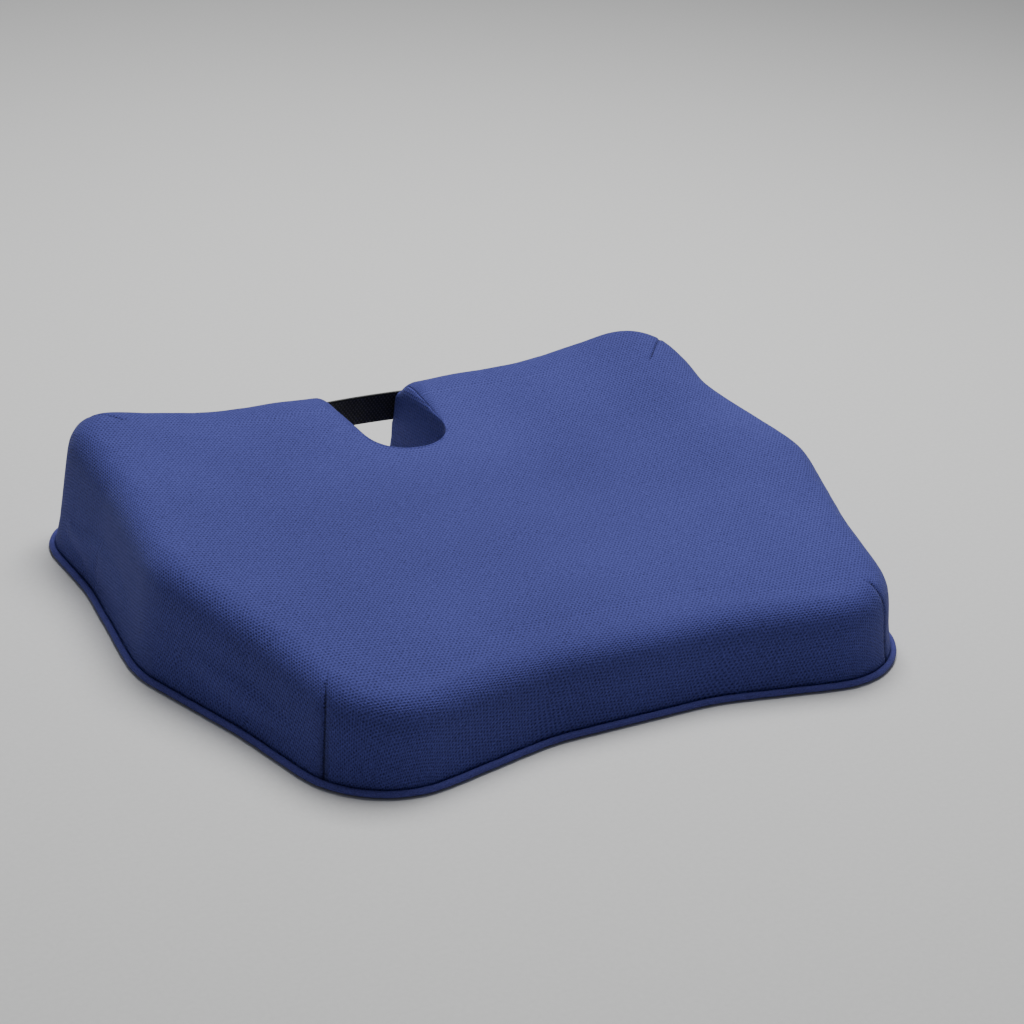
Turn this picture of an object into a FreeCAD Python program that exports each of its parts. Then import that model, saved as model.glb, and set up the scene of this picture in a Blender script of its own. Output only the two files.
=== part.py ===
import FreeCAD, Part
import math
import os
import Sketcher

# Wedge-shaped memory-foam seat cushion with a tailbone notch, a gel pad under a removable
# knitted cover, a zip across the underside and a webbing carry handle at the back.
# Millimetres. X is the width, Y runs from the front edge (-) to the notch (+), Z is up.
# The origin is at the middle of the footprint, on the surface that the cushion rests on.

Vector = FreeCAD.Vector
os.makedirs("parts", exist_ok=True)
doc = FreeCAD.newDocument("seat_cushion")

# ---------------------------------------------------------------- driving sizes
# Right half of the footprint: corners of a rounded polygon, from the front to the back.
# Each corner has a place across, a place along and the radius that rounds it.
FOOTPRINT_CORNERS = [
    ("front_middle", 52, -161, 70),
    ("front_corner", 171, -186, 52),
    ("front_waist", 194, -90, 60),
    ("side_bulge", 220, -12, 70),
    ("rear_waist", 209, 84, 60),
    ("rear_corner", 211, 172, 38),
    ("rear_dip", 106, 171, 120),
    ("rear_middle", 64, 177, 100),
]

SIZES = {
    # height of the top surface along the middle, at five places from front to back
    "top_front": 41.5,
    "top_thigh": 49,
    "top_middle": 50.5,
    "top_seat": 56,
    "top_rear": 76,
    # how much higher the surface is at the dish's edge, at the same five places
    "dish_front": 8,
    "dish_thigh": 14,
    "dish_middle": 23,
    "dish_seat": 29,
    "dish_rear": 32,
    "dish_half_width": 220,
    "top_half_span": 200,
    "top_edge_radius": 18,
    "wall_taper": 6.5,
    # tailbone notch
    "notch_half_width": 26,
    "notch_depth": 90,
    "notch_end_radius": 24,
    "notch_mouth_inset": 8,
    "notch_mouth_radius": 12,
    "notch_flare": 40,
    # cover
    "cover_thickness": 1.2,
    "band_thickness": 1.2,
    "bottom_thickness": 1.4,
    "cover_gap": 0.3,
    "piping_radius": 2.1,
    "piping_cord_radius": 1.2,
    "piping_lift": 0.3,
    "piping_gap": 0.3,
    "piping_corner_radius": 3,
    "piping_filler_gap": 0.1,
    # cooling gel pad in the top of the foam
    "gel_width": 300,
    "gel_front_inset": 38,
    "gel_notch_gap": 20,
    "gel_corner_radius": 30,
    "gel_thickness": 5,
    "gel_film_thickness": 0.3,
    "gel_gap": 0.5,
    # zip across the underside
    "zip_centre": 30,
    "slot_half_length": 180,
    "slot_half_width": 8.5,
    "hem_thickness": 1.4,
    "panel_seam_gap": 0.3,
    "tape_width": 14,
    "tape_thickness": 0.6,
    "tape_end_gap": 0.5,
    "chain_half_gap": 0.7,
    "coil_width": 2.5,
    "coil_thickness": 1.6,
    "slider_length": 12,
    "slider_width": 8.8,
    "slider_nose_width": 5.6,
    "slider_rest": 148,
    "slider_plate": 1,
    "slider_clearance": 0.35,
    "slider_rail": 0.8,
    "slider_post_length": 2.4,
    "slider_post_thickness": 0.7,
    "bridge_width": 1.6,
    "bridge_leg": 1,
    "bridge_window": 3.4,
    "bridge_bar": 0.9,
    "pull_length": 25,
    "pull_width": 7,
    "pull_thickness": 1.2,
    "pull_window_length": 4.4,
    "pull_window_width": 2.6,
    "pull_lift": 1.9,
    "stop_length": 2.4,
    "stop_clearance": 1.6,
    "bottom_stop_place": -148,
    "end_tab_length": 11,
    "end_tab_thickness": 1,
    # webbing carry handle across the mouth of the notch
    "strap_width": 20,
    "strap_thickness": 1.8,
    "strap_height": 43,
    "strap_bow": 4.5,
    "strap_free_half": 38,
    "strap_end_length": 24,
    "strap_gap": 0.3,
    "tack_width": 1.6,
    "tack_height": 16,
    "tack_proud": 0.4,
    "tack_inset": 3,
    # blank care label in the back seam
    "label_width": 18,
    "label_height": 22,
    "label_thickness": 0.5,
    "label_place": 50,
    "label_lift": 6,
}

for corner, across, along, radius in FOOTPRINT_CORNERS:
    SIZES[corner + "_x"] = across
    SIZES[corner + "_y"] = along
    SIZES[corner + "_radius"] = radius

sizes = doc.addObject("Spreadsheet::Sheet", "sizes")
for row, (alias, value) in enumerate(SIZES.items(), start=1):
    sizes.set(f"A{row}", alias.replace("_", " "))
    sizes.set(f"B{row}", str(value))
    sizes.setAlias(f"B{row}", alias)
doc.recompute()


def size(alias):
    """The sheet's value of one alias."""
    return float(sizes.get(alias))


# ---------------------------------------------------------------- small helpers
def bind(thing, **expressions):
    """Ties properties of a document object to cells; a double underscore stands for a dot."""
    for prop, expression in expressions.items():
        thing.setExpression(prop.replace("__", "."), expression)


def turn_at(corner, before, after, radius):
    """Start, end and centre of the arc that rounds a polygon's corner, and whether it turns left."""
    back = (before - corner).normalize()
    ahead = (after - corner).normalize()
    half_angle = back.getAngle(ahead) / 2
    run = radius / math.tan(half_angle)
    centre = corner + (back + ahead).normalize() * (radius / math.sin(half_angle))
    return corner + back * run, corner + ahead * run, centre, back.cross(ahead).z < 0


def arc_between(first, last, centre, radius):
    """Counter-clockwise arc about centre from first to last."""
    start = math.atan2((first - centre).y, (first - centre).x)
    stop = math.atan2((last - centre).y, (last - centre).x)
    if stop < start:
        stop += 2 * math.pi
    return Part.ArcOfCircle(Part.Circle(centre, Vector(0, 0, 1), radius), start, stop)


def rounded_polygon(sketch, corners):
    """Fills a sketch with a closed polygon of lines joined by tangent arcs.

    corners is a list of three expressions (x, y, radius); every one stays bound to its cells.
    """
    values = [[float(doc_value(text)) for text in corner] for corner in corners]
    points = [Vector(x, y, 0) for x, y, radius in values]
    count = len(points)
    turns = []
    for index, point in enumerate(points):
        after = points[(index + 1) % count]
        turns.append(turn_at(point, points[index - 1], after, values[index][2]))
    geometry = []
    for index, (start, end, centre, left) in enumerate(turns):
        first, last = (start, end) if left else (end, start)
        geometry.append(arc_between(first, last, centre, values[index][2]))
        geometry.append(Part.LineSegment(end, turns[(index + 1) % count][0]))
    geometry += [Part.Point(point) for point in points]
    sketch.addGeometry(geometry, False)
    constraints = []
    for index, (x, y, radius) in enumerate(values):
        arc = 2 * index
        line = arc + 1
        following = (index + 1) % count
        corner = 2 * count + index
        next_corner = 2 * count + following
        sketch.toggleConstruction(corner)
        arc_end = 2 if turns[index][3] else 1
        next_start = 1 if turns[following][3] else 2
        constraints += [
            Sketcher.Constraint("DistanceX", -1, 1, corner, 1, x),
            Sketcher.Constraint("DistanceY", -1, 1, corner, 1, y),
            Sketcher.Constraint("Radius", arc, radius),
            Sketcher.Constraint("Tangent", arc, arc_end, line, 1),
            Sketcher.Constraint("Tangent", line, 2, 2 * following, next_start),
            Sketcher.Constraint("PointOnObject", corner, 1, line),
            Sketcher.Constraint("PointOnObject", next_corner, 1, line),
        ]
    sketch.addConstraint(constraints)
    per_corner = 7
    for index, texts in enumerate(corners):
        for place, text in enumerate(texts):
            sketch.setExpression(f"Constraints[{per_corner * index + place}]", text)


def doc_value(text):
    """Value of an expression of sheet cells."""
    return sizes.evalExpression(text)


def extrusion(name, profile, height, base="0", taper="0"):
    """Solid extrusion of a flat closed profile along +Z, from the height base."""
    solid = doc.addObject("Part::Extrusion", name)
    solid.Base = profile
    solid.DirMode = "Custom"
    solid.Dir = Vector(0, 0, 1)
    solid.Solid = True
    bind(solid, LengthFwd=height, TaperAngle=taper, Placement__Base__z=base)
    return solid


def offset(name, profile, distance):
    """The flat profile grown by a distance, with arcs at its corners."""
    grown = doc.addObject("Part::Offset2D", name)
    grown.Source = profile
    grown.Join = "Arc"
    grown.Value = float(doc_value(distance))
    bind(grown, Value=distance)
    return grown


def cut(name, base, *tools):
    """Base without the tools."""
    for index, tool in enumerate(tools):
        last = index == len(tools) - 1
        result = doc.addObject("Part::Cut", name if last else f"{name}_step_{index}")
        result.Base = base
        result.Tool = tool
        base = result
    return base


def fuse(name, *shapes):
    """All shapes as one."""
    result = doc.addObject("Part::MultiFuse", name)
    result.Shapes = list(shapes)
    return result


def common(name, *shapes):
    """What the shapes share."""
    result = doc.addObject("Part::MultiCommon", name)
    result.Shapes = list(shapes)
    return result


def box(name, x, y, z, length, width, height):
    """Box from its lowest corner, each number an expression."""
    block = doc.addObject("Part::Box", name)
    bind(block, Length=length, Width=width, Height=height)
    bind(block, Placement__Base__x=x, Placement__Base__y=y, Placement__Base__z=z)
    return block


def fillet(name, base, chosen, radius):
    """Rounds the edges of base that the test chooses."""
    doc.recompute()
    rounded = doc.addObject("Part::Fillet", name)
    rounded.Base = base
    edges = enumerate(base.Shape.Edges, start=1)
    rounded.Edges = [(number, radius, radius) for number, edge in edges if chosen(edge)]
    return rounded


# ---------------------------------------------------------------- shared outlines
def mirrored_corners(half):
    """A right half of (x, y, radius) expressions, and its mirror image in reverse order."""
    left = [(f"-({x})", y, radius) for x, y, radius in reversed(half)]
    return half + left


footprint = doc.addObject("Sketcher::SketchObject", "footprint")
rounded_polygon(footprint, mirrored_corners([
    (f"sizes.{name}_x", f"sizes.{name}_y", f"sizes.{name}_radius")
    for name, across, along, radius in FOOTPRINT_CORNERS
]))

# The notch's plan runs out past the back edge, where its mouth flares.
NOTCH_FRONT = "(sizes.rear_middle_y - sizes.notch_depth)"
NOTCH_MOUTH = "(sizes.rear_middle_y - sizes.notch_mouth_inset)"
FLARE_END = f"{NOTCH_MOUTH} + sizes.notch_flare"
notch_plan = doc.addObject("Sketcher::SketchObject", "notch_plan")
rounded_polygon(notch_plan, [
    ("-sizes.notch_half_width", NOTCH_FRONT, "sizes.notch_end_radius"),
    ("sizes.notch_half_width", NOTCH_FRONT, "sizes.notch_end_radius"),
    ("sizes.notch_half_width", NOTCH_MOUTH, "sizes.notch_mouth_radius"),
    ("sizes.notch_half_width + sizes.notch_flare", FLARE_END, "sizes.notch_mouth_radius"),
    ("-sizes.notch_half_width - sizes.notch_flare", FLARE_END, "sizes.notch_mouth_radius"),
    ("-sizes.notch_half_width", NOTCH_MOUTH, "sizes.notch_mouth_radius"),
])

# The gel pad lies between the front edge and the notch.
GEL_FRONT = "(sizes.front_middle_y + sizes.gel_front_inset)"
GEL_REAR = f"({NOTCH_FRONT} - sizes.gel_notch_gap)"
gel_plan = doc.addObject("Sketcher::SketchObject", "gel_plan")
rounded_polygon(gel_plan, [
    (f"{side} * sizes.gel_width / 2", edge, "sizes.gel_corner_radius")
    for side, edge in ((-1, GEL_FRONT), (1, GEL_FRONT), (1, GEL_REAR), (-1, GEL_REAR))
])
doc.recompute()


def top_sheet():
    """Top surface: a wedge from front to back, dished across its width."""
    names = ("front", "thigh", "middle", "seat", "rear")
    span = size("top_half_span")
    reach = size("dish_half_width") + size("top_edge_radius")
    across = [reach * part for part in (-1, -0.5, 0, 0.5, 1)]
    rows = []
    for index, name in enumerate(names):
        along = 2 * span * index / (len(names) - 1) - span
        rows.append([
            Vector(x, along, size(f"top_{name}") + size(f"dish_{name}") * (x / size("dish_half_width")) ** 2)
            for x in across
        ])
    surface = Part.BSplineSurface()
    surface.interpolate(rows)
    return surface.toShape()


top_surface = doc.addObject("Part::Feature", "top_surface")
top_surface.Shape = top_sheet()

BLOCK_HEIGHT = "2 * (sizes.top_rear + sizes.dish_rear)"


def under_top(name, drop):
    """Everything under the top surface when that is lowered by drop."""
    solid = doc.addObject("Part::Extrusion", name)
    solid.Base = top_surface
    solid.DirMode = "Custom"
    solid.Dir = Vector(0, 0, -1)
    solid.Solid = True
    bind(solid, LengthFwd=BLOCK_HEIGHT, Placement__Base__z=f"-({drop})")
    return solid


def cushion_block(name, inset, base):
    """The cushion's outer form, smaller by inset all round, standing on the height base."""
    plan = footprint if inset == "0" else offset(f"{name}_plan", footprint, f"-({inset})")
    walls = extrusion(f"{name}_walls", plan, BLOCK_HEIGHT, base, "-sizes.wall_taper")
    raw = common(f"{name}_raw", walls, under_top(f"{name}_under", inset))
    radius = size("top_edge_radius") - float(doc_value(inset))
    doc.recompute()
    top = max(raw.Shape.Faces, key=lambda face: face.CenterOfMass.z)
    return fillet(name, raw, lambda edge: any(edge.isSame(rim) for rim in top.Edges), radius)


def notch_block(name, grow):
    """Upright cutter of the notch, wider by grow all round."""
    plan = notch_plan if grow == "0" else offset(f"{name}_plan", notch_plan, grow)
    return extrusion(name, plan, f"2 * {BLOCK_HEIGHT}", "-sizes.top_rear")


# ---------------------------------------------------------------- heights of the zip
# Stacked upwards from the seat, so that nothing of the zip reaches down to it.
PULL_AXIS = "(sizes.pull_lift + sizes.pull_thickness / 2)"
SLIDER_LOW = "(sizes.pull_lift + sizes.pull_thickness + sizes.slider_clearance)"
CHANNEL_LOW = f"({SLIDER_LOW} + sizes.slider_plate)"
COIL_LOW = f"({CHANNEL_LOW} + sizes.slider_clearance)"
TAPE_LOW = f"({COIL_LOW} + sizes.coil_thickness)"
TAPE_HIGH = f"({TAPE_LOW} + sizes.tape_thickness)"
CHANNEL_HIGH = f"({TAPE_HIGH} + sizes.slider_clearance)"
SLIDER_HIGH = f"({CHANNEL_HIGH} + sizes.slider_plate)"
COIL_END = "(sizes.slider_rest + sizes.slider_length / 2 + sizes.stop_clearance)"


# ---------------------------------------------------------------- foam and gel
def make_foam():
    """Foam wedge with the notch, the recess of the gel pad and the channel over the zip."""
    inset = "sizes.cover_thickness + sizes.cover_gap"
    outer = cushion_block("foam_block", inset, "sizes.bottom_thickness + sizes.cover_gap")
    notch = notch_block("foam_notch", "sizes.band_thickness + sizes.cover_gap")
    recess_plan = offset("recess_plan", gel_plan, "sizes.gel_gap")
    recess_prism = extrusion("recess_prism", recess_plan, BLOCK_HEIGHT)
    depth = f"{inset} + sizes.gel_film_thickness + sizes.gel_thickness + sizes.cover_gap"
    recess = cut("gel_recess", recess_prism, under_top("recess_floor", depth))
    slot_edge = "sizes.hem_thickness + sizes.cover_gap"
    half_length = f"(sizes.slot_half_length + {slot_edge})"
    half_width = "(sizes.chain_half_gap + sizes.tape_width + sizes.cover_gap)"
    channel = box("zip_channel", f"-{half_length}", f"sizes.zip_centre - {half_width}", "0",
                  f"2 * {half_length}", f"2 * {half_width}", f"{SLIDER_HIGH} + sizes.cover_gap")
    return cut("foam_core", outer, notch, recess, channel)


def gel_layer(name, drop, thickness):
    """Sheet of the gel pad's plan that follows the top surface, drop below it."""
    prism = extrusion(f"{name}_prism", gel_plan, BLOCK_HEIGHT)
    upper = common(f"{name}_upper", prism, under_top(f"{name}_top", drop))
    return cut(name, upper, under_top(f"{name}_floor", f"{drop} + {thickness}"))


def make_gel():
    """Soft gel pad and the film that seals it."""
    film_drop = "sizes.cover_thickness + sizes.cover_gap"
    pad_drop = f"{film_drop} + sizes.gel_film_thickness"
    film = gel_layer("gel_film", film_drop, "sizes.gel_film_thickness")
    pad = gel_layer("gel_pad", pad_drop, "sizes.gel_thickness")
    return [film, pad]


# ---------------------------------------------------------------- cover
def make_top_panel():
    """Knitted top and side walls in one piece, open underneath and round the notch."""
    outer = cushion_block("cover_block", "0", "sizes.bottom_thickness")
    inner = cushion_block("cover_inside", "sizes.cover_thickness", "0")
    notch = notch_block("cover_notch", "sizes.band_thickness + sizes.cover_gap")
    return outer, cut("cover_top_panel", outer, inner, notch)


def make_notch_band(outer):
    """Upright strip of cover that lines the notch."""
    ring = cut("band_ring", notch_block("band_outside", "sizes.band_thickness"),
               notch_block("band_inside", "0"))
    return common("cover_notch_band", ring, outer)


def make_bottom_panels():
    """The two underside panels, turned up into hems along the zip's slot."""
    plate = extrusion("bottom_plate", footprint, "sizes.bottom_thickness")
    hem_x = "(sizes.slot_half_length + sizes.hem_thickness)"
    hem_y = "(sizes.slot_half_width + sizes.hem_thickness)"
    hem = box("hem_block", f"-{hem_x}", f"sizes.zip_centre - {hem_y}", "0",
              f"2 * {hem_x}", f"2 * {hem_y}", TAPE_LOW)
    slot = box("slot_block", "-sizes.slot_half_length",
               "sizes.zip_centre - sizes.slot_half_width", "-sizes.bottom_thickness",
               "2 * sizes.slot_half_length", "2 * sizes.slot_half_width", BLOCK_HEIGHT)
    blank = cut("bottom_blank", fuse("bottom_sheet", plate, hem), slot,
                notch_block("bottom_notch", "0"))
    reach = "2 * sizes.side_bulge_x"
    panels = []
    for name, start in (("cover_bottom_front", "sizes.zip_centre - sizes.panel_seam_gap / 2"),
                        ("cover_bottom_rear", f"sizes.zip_centre + sizes.panel_seam_gap / 2 - {reach}")):
        away = box(f"{name}_away", f"-{reach}", start, f"-{reach}", f"2 * {reach}", reach,
                   f"2 * {reach}")
        panels.append(cut(name, blank, away))
    return panels


def piping_path():
    """Centre line of the piping: round the footprint and through the notch."""
    plan = Part.Face(Part.Wire(footprint.Shape.Edges))
    opening = Part.Face(Part.Wire(notch_plan.Shape.Edges))
    sheet = plan.cut(opening).Faces[0].extrude(Vector(0, 0, 1))

    def is_mouth_corner(edge):
        upright = abs(edge.tangentAt(edge.FirstParameter).z) > 0.99
        return upright and edge.Vertexes[0].Point.y > float(doc_value(NOTCH_MOUTH)) and is_sharp(sheet, edge)

    corners = [edge for edge in sheet.Edges if is_mouth_corner(edge)]
    sheet = sheet.makeFillet(size("piping_corner_radius"), corners)
    floor_face = min(sheet.Faces, key=lambda face: face.CenterOfMass.z)
    path = floor_face.OuterWire.makeOffset2D(size("piping_radius") + size("piping_gap"))
    path.translate(Vector(0, 0, size("piping_radius") + size("piping_lift")))
    return path


def is_sharp(solid, edge):
    """Whether the two faces that meet at an upright edge turn there."""
    normals = []
    for face in solid.Faces:
        if any(edge.isSame(other) for other in face.Edges):
            u, v = face.Surface.parameter(edge.Vertexes[0].Point)
            normals.append(face.normalAt(u, v))
    return len(normals) == 2 and normals[0].getAngle(normals[1]) > math.radians(5)


def tube(path, radius):
    """Round bar of a radius along a closed path."""
    start = path.Edges[0]
    circle = Part.makeCircle(radius, start.valueAt(start.FirstParameter),
                             start.tangentAt(start.FirstParameter))
    return path.makePipeShell([Part.Wire([circle])], True, True)


def make_piping():
    """Fabric piping along the bottom seam, with its filler cord."""
    path = piping_path()
    cord = doc.addObject("Part::Feature", "piping_cord")
    cord.Shape = tube(path, size("piping_cord_radius"))
    sleeve = doc.addObject("Part::Feature", "piping_fabric")
    inside = tube(path, size("piping_cord_radius") + size("piping_filler_gap"))
    sleeve.Shape = tube(path, size("piping_radius")).cut(inside)
    return [cord, sleeve]


# ---------------------------------------------------------------- zip
def mirrored_box(name, side, y_near, y_width, x, length, z, height):
    """Box beside the zip's centre line: side is -1 in front of it and +1 behind it."""
    y = f"sizes.zip_centre + {y_near}" if side > 0 else f"sizes.zip_centre - {y_near} - {y_width}"
    return box(name, x, y, z, length, y_width, height)


def make_tapes_and_coils():
    """Two woven tapes and the coil on the inner edge of each."""
    tapes = []
    coils = []
    half = "(sizes.slot_half_length - sizes.tape_end_gap)"
    coil_start = "(sizes.bottom_stop_place + sizes.stop_length / 2)"
    for name, side in (("front", -1), ("rear", 1)):
        tapes.append(mirrored_box(f"zip_tape_{name}", side, "sizes.chain_half_gap",
                                  "sizes.tape_width", f"-{half}", f"2 * {half}", TAPE_LOW,
                                  "sizes.tape_thickness"))
        bar = mirrored_box(f"coil_bar_{name}", side, "sizes.chain_half_gap", "sizes.coil_width",
                           coil_start, f"{COIL_END} - {coil_start}", COIL_LOW,
                           "sizes.coil_thickness")
        rounding = size("coil_thickness") / 3
        low = float(doc_value(COIL_LOW))
        coils.append(fillet(f"zip_coil_{name}", bar, lambda edge: lengthwise_low(edge, low), rounding))
    return tapes, coils


def lengthwise_low(edge, height):
    """Whether an edge runs along X at a height."""
    ends = [vertex.Point for vertex in edge.Vertexes]
    return abs(ends[0].x - ends[1].x) > 1 and abs(ends[0].z - height) < 0.01


def make_stops(tapes):
    """Metal clips at the ends of the coils: one across both tapes, one on each tape."""
    low = f"({COIL_LOW} - sizes.slider_clearance / 2)"
    height = f"{TAPE_HIGH} + sizes.slider_clearance / 2 - {low}"
    reach = "(sizes.chain_half_gap + sizes.coil_width)"
    bridge = box("bottom_stop_block", "sizes.bottom_stop_place - sizes.stop_length / 2",
                 f"sizes.zip_centre - {reach}", low, "sizes.stop_length", f"2 * {reach}", height)
    bottom = cut("zip_bottom_stop", bridge, *tapes)
    near = "(sizes.chain_half_gap / 2)"
    clips = [mirrored_box(f"top_stop_{name}", side, near, f"({reach} - {near})", COIL_END,
                          "sizes.stop_length", low, height)
             for name, side in (("front", -1), ("rear", 1))]
    top = cut("zip_top_stops", fuse("top_stop_blocks", *clips), *tapes)
    return [bottom, top]


def make_end_tabs():
    """Folded fabric tab under each end of the tapes."""
    tabs = []
    for name, side in (("left", -1), ("right", 1)):
        start = "(sizes.slot_half_length - sizes.end_tab_length - sizes.tape_end_gap)"
        x = start if side > 0 else f"-{start} - sizes.end_tab_length"
        half = "(sizes.slot_half_width - sizes.cover_gap)"
        tabs.append(box(f"zip_end_tab_{name}", x, f"sizes.zip_centre - {half}",
                        f"{TAPE_LOW} - sizes.end_tab_thickness", "sizes.end_tab_length",
                        f"2 * {half}", "sizes.end_tab_thickness"))
    return tabs


def attach(body, feature, role, lift="0"):
    """Attaches a feature to one of its body's own origin planes, raised off it by lift."""
    plane = next(item for item in body.Origin.OriginFeatures if item.Role == role)
    feature.AttachmentSupport = [(plane, "")]
    feature.MapMode = "FlatFace"
    bind(feature, AttachmentOffset__Base__z=lift)


def body_sketch(body, name, height):
    """Sketch on the body's own XY plane, raised to a height."""
    sketch = body.newObject("Sketcher::SketchObject", name)
    attach(body, sketch, "XY_Plane", height)
    return sketch


def rectangle(sketch, x, y, length, width):
    """Rectangle in a sketch, from its middle, each number an expression."""
    x_mid, y_mid, dx, dy = (float(doc_value(text)) for text in (x, y, length, width))
    low = Vector(x_mid - dx / 2, y_mid - dy / 2, 0)
    corners = [low, low + Vector(dx, 0, 0), low + Vector(dx, dy, 0), low + Vector(0, dy, 0)]
    first = sketch.GeometryCount
    sketch.addGeometry([Part.LineSegment(corners[index], corners[(index + 1) % 4])
                        for index in range(4)], False)
    joins = [Sketcher.Constraint("Coincident", first + index, 2, first + (index + 1) % 4, 1)
             for index in range(4)]
    level = [Sketcher.Constraint("Horizontal", first), Sketcher.Constraint("Vertical", first + 1),
             Sketcher.Constraint("Horizontal", first + 2), Sketcher.Constraint("Vertical", first + 3)]
    sketch.addConstraint(joins + level)
    for kind, start, end, expression in (
            ("DistanceX", (first, 1), (first, 2), length),
            ("DistanceY", (first + 1, 1), (first + 1, 2), width),
            ("DistanceX", (-1, 1), (first, 1), f"{x} - ({length}) / 2"),
            ("DistanceY", (-1, 1), (first, 1), f"{y} - ({width}) / 2")):
        value = float(doc_value(expression))
        number = sketch.addConstraint(Sketcher.Constraint(kind, *start, *end, value))
        sketch.setExpression(f"Constraints[{number}]", expression)


def pad(body, sketch, length, name):
    """Pad of a sketch upwards."""
    feature = body.newObject("PartDesign::Pad", name)
    feature.Profile = sketch
    bind(feature, Length=length)
    return feature


def slider_plate(body, name, height, thickness):
    """Shield-shaped plate of the slider, wide at the mouth and narrower at the nose."""
    sketch = body_sketch(body, f"{name}_plan", height)
    half = "sizes.slider_length / 2"
    wide = "sizes.slider_width / 2"
    nose = "sizes.slider_nose_width / 2"
    rounded_polygon(sketch, [
        (f"-{half}", f"-{wide}", "sizes.slider_rail"),
        (half, f"-{nose}", "sizes.slider_rail"),
        (half, nose, "sizes.slider_rail"),
        (f"-{half}", wide, "sizes.slider_rail"),
    ])
    pad(body, sketch, thickness, name)


def slider_block(body, name, x, y, z, length, width, height):
    """Square-edged block of the slider, given by its middle in plan and its lowest height."""
    sketch = body_sketch(body, f"{name}_plan", z)
    rectangle(sketch, x, y, length, width)
    pad(body, sketch, height, name)


def make_slider():
    """Slider body: two plates joined by the post, side rails and the bridge that holds the pull."""
    body = doc.addObject("PartDesign::Body", "zip_slider")
    post_x = "sizes.slider_length / 2 - sizes.slider_post_length / 2 - sizes.slider_rail"
    slider_plate(body, "lower_plate", SLIDER_LOW, "sizes.slider_plate")
    slider_block(body, "post", post_x, "0", SLIDER_LOW, "sizes.slider_post_length",
                 "sizes.slider_post_thickness", f"{SLIDER_HIGH} - {SLIDER_LOW}")
    slider_plate(body, "upper_plate", CHANNEL_HIGH, "sizes.slider_plate")
    rail_length = "sizes.slider_length / 2"
    rail_y = "(sizes.chain_half_gap + sizes.coil_width + sizes.slider_clearance + sizes.slider_rail / 2)"
    rail_x = "-sizes.slider_length / 2 + sizes.slider_rail + sizes.slider_length / 4"
    rail_height = f"{TAPE_LOW} - {CHANNEL_LOW} + sizes.slider_plate / 2 - sizes.slider_clearance"
    for side, sign in (("front", "-"), ("rear", "")):
        slider_block(body, f"rail_{side}", rail_x, f"{sign}{rail_y}",
                     f"{CHANNEL_LOW} - sizes.slider_plate / 2", rail_length, "sizes.slider_rail",
                     rail_height)
    leg_x = "(sizes.bridge_window + sizes.bridge_leg) / 2"
    bar_low = f"({PULL_AXIS} - sizes.pull_thickness / 2 - sizes.slider_clearance - sizes.bridge_bar)"
    leg_height = f"{SLIDER_LOW} + sizes.slider_plate / 2 - {bar_low}"
    for side, sign in (("nose", ""), ("mouth", "-")):
        slider_block(body, f"bridge_leg_{side}", f"{sign}{leg_x}", "0", bar_low,
                     "sizes.bridge_leg", "sizes.bridge_width", leg_height)
    slider_block(body, "bridge_bar", "0", "0", bar_low, "sizes.bridge_window + sizes.bridge_leg",
                 "sizes.bridge_width", "sizes.bridge_bar")
    bind(body, Placement__Base__x="sizes.slider_rest", Placement__Base__y="sizes.zip_centre")
    return body


def make_pull():
    """Pull tab with a window round the bridge and a round cross bar that it turns on."""
    body = doc.addObject("PartDesign::Body", "zip_pull")
    plan = body_sketch(body, "tab_plan", "sizes.pull_lift")
    half = "sizes.pull_width / 2"
    tip_radius = "sizes.pull_width / 3"
    root_radius = "sizes.pull_thickness / 4"
    rounded_polygon(plan, [
        ("-sizes.pull_length", f"-{half}", tip_radius),
        ("0", f"-{half}", root_radius),
        ("0", half, root_radius),
        ("-sizes.pull_length", half, tip_radius),
    ])
    pad(body, plan, "sizes.pull_thickness", "tab")
    window_plan = body_sketch(body, "window_plan", "sizes.pull_lift + sizes.pull_thickness")
    rectangle(window_plan, "-sizes.pull_window_length / 2", "0",
              "sizes.pull_window_length + sizes.pull_thickness", "sizes.pull_window_width")
    window = body.newObject("PartDesign::Pocket", "window")
    window.Profile = window_plan
    bind(window, Length="sizes.pull_thickness")
    bar = body.newObject("PartDesign::AdditiveCylinder", "cross_bar")
    attach(body, bar, "XZ_Plane", f"-{half}")
    bind(bar, Radius="sizes.pull_thickness / 2", Height="sizes.pull_width",
         AttachmentOffset__Base__y=PULL_AXIS)
    body.Tip = bar
    bind(body, Placement__Base__x="sizes.slider_rest", Placement__Base__y="sizes.zip_centre")
    return body


# ---------------------------------------------------------------- handle and label
def lean_on_back_wall(piece, height, away):
    """Leans a piece on the sloping back wall, at a height up it and a distance off it."""
    piece.Placement = FreeCAD.Placement(Vector(0, 0, 0), FreeCAD.Rotation(Vector(1, 0, 0), 1))
    wall = f"sizes.rear_middle_y - ({height}) * tan(sizes.wall_taper)"
    bind(piece, Placement__Rotation__Angle="sizes.wall_taper",
         Placement__Base__y=f"{wall} + ({away}) * cos(sizes.wall_taper)",
         Placement__Base__z=f"{height} + ({away}) * sin(sizes.wall_taper)")


def wall_box(name, x, length, thickness, tall, height, away):
    """Flat piece on the back wall: x is its middle across, height its middle up the wall."""
    body = doc.addObject("PartDesign::Body", name)
    outline = body.newObject("Sketcher::SketchObject", f"{name}_outline")
    attach(body, outline, "XZ_Plane")
    rectangle(outline, x, "0", length, tall)
    pad(body, outline, thickness, f"{name}_slab").Reversed = True
    lean_on_back_wall(body, height, away)
    return body


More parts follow.
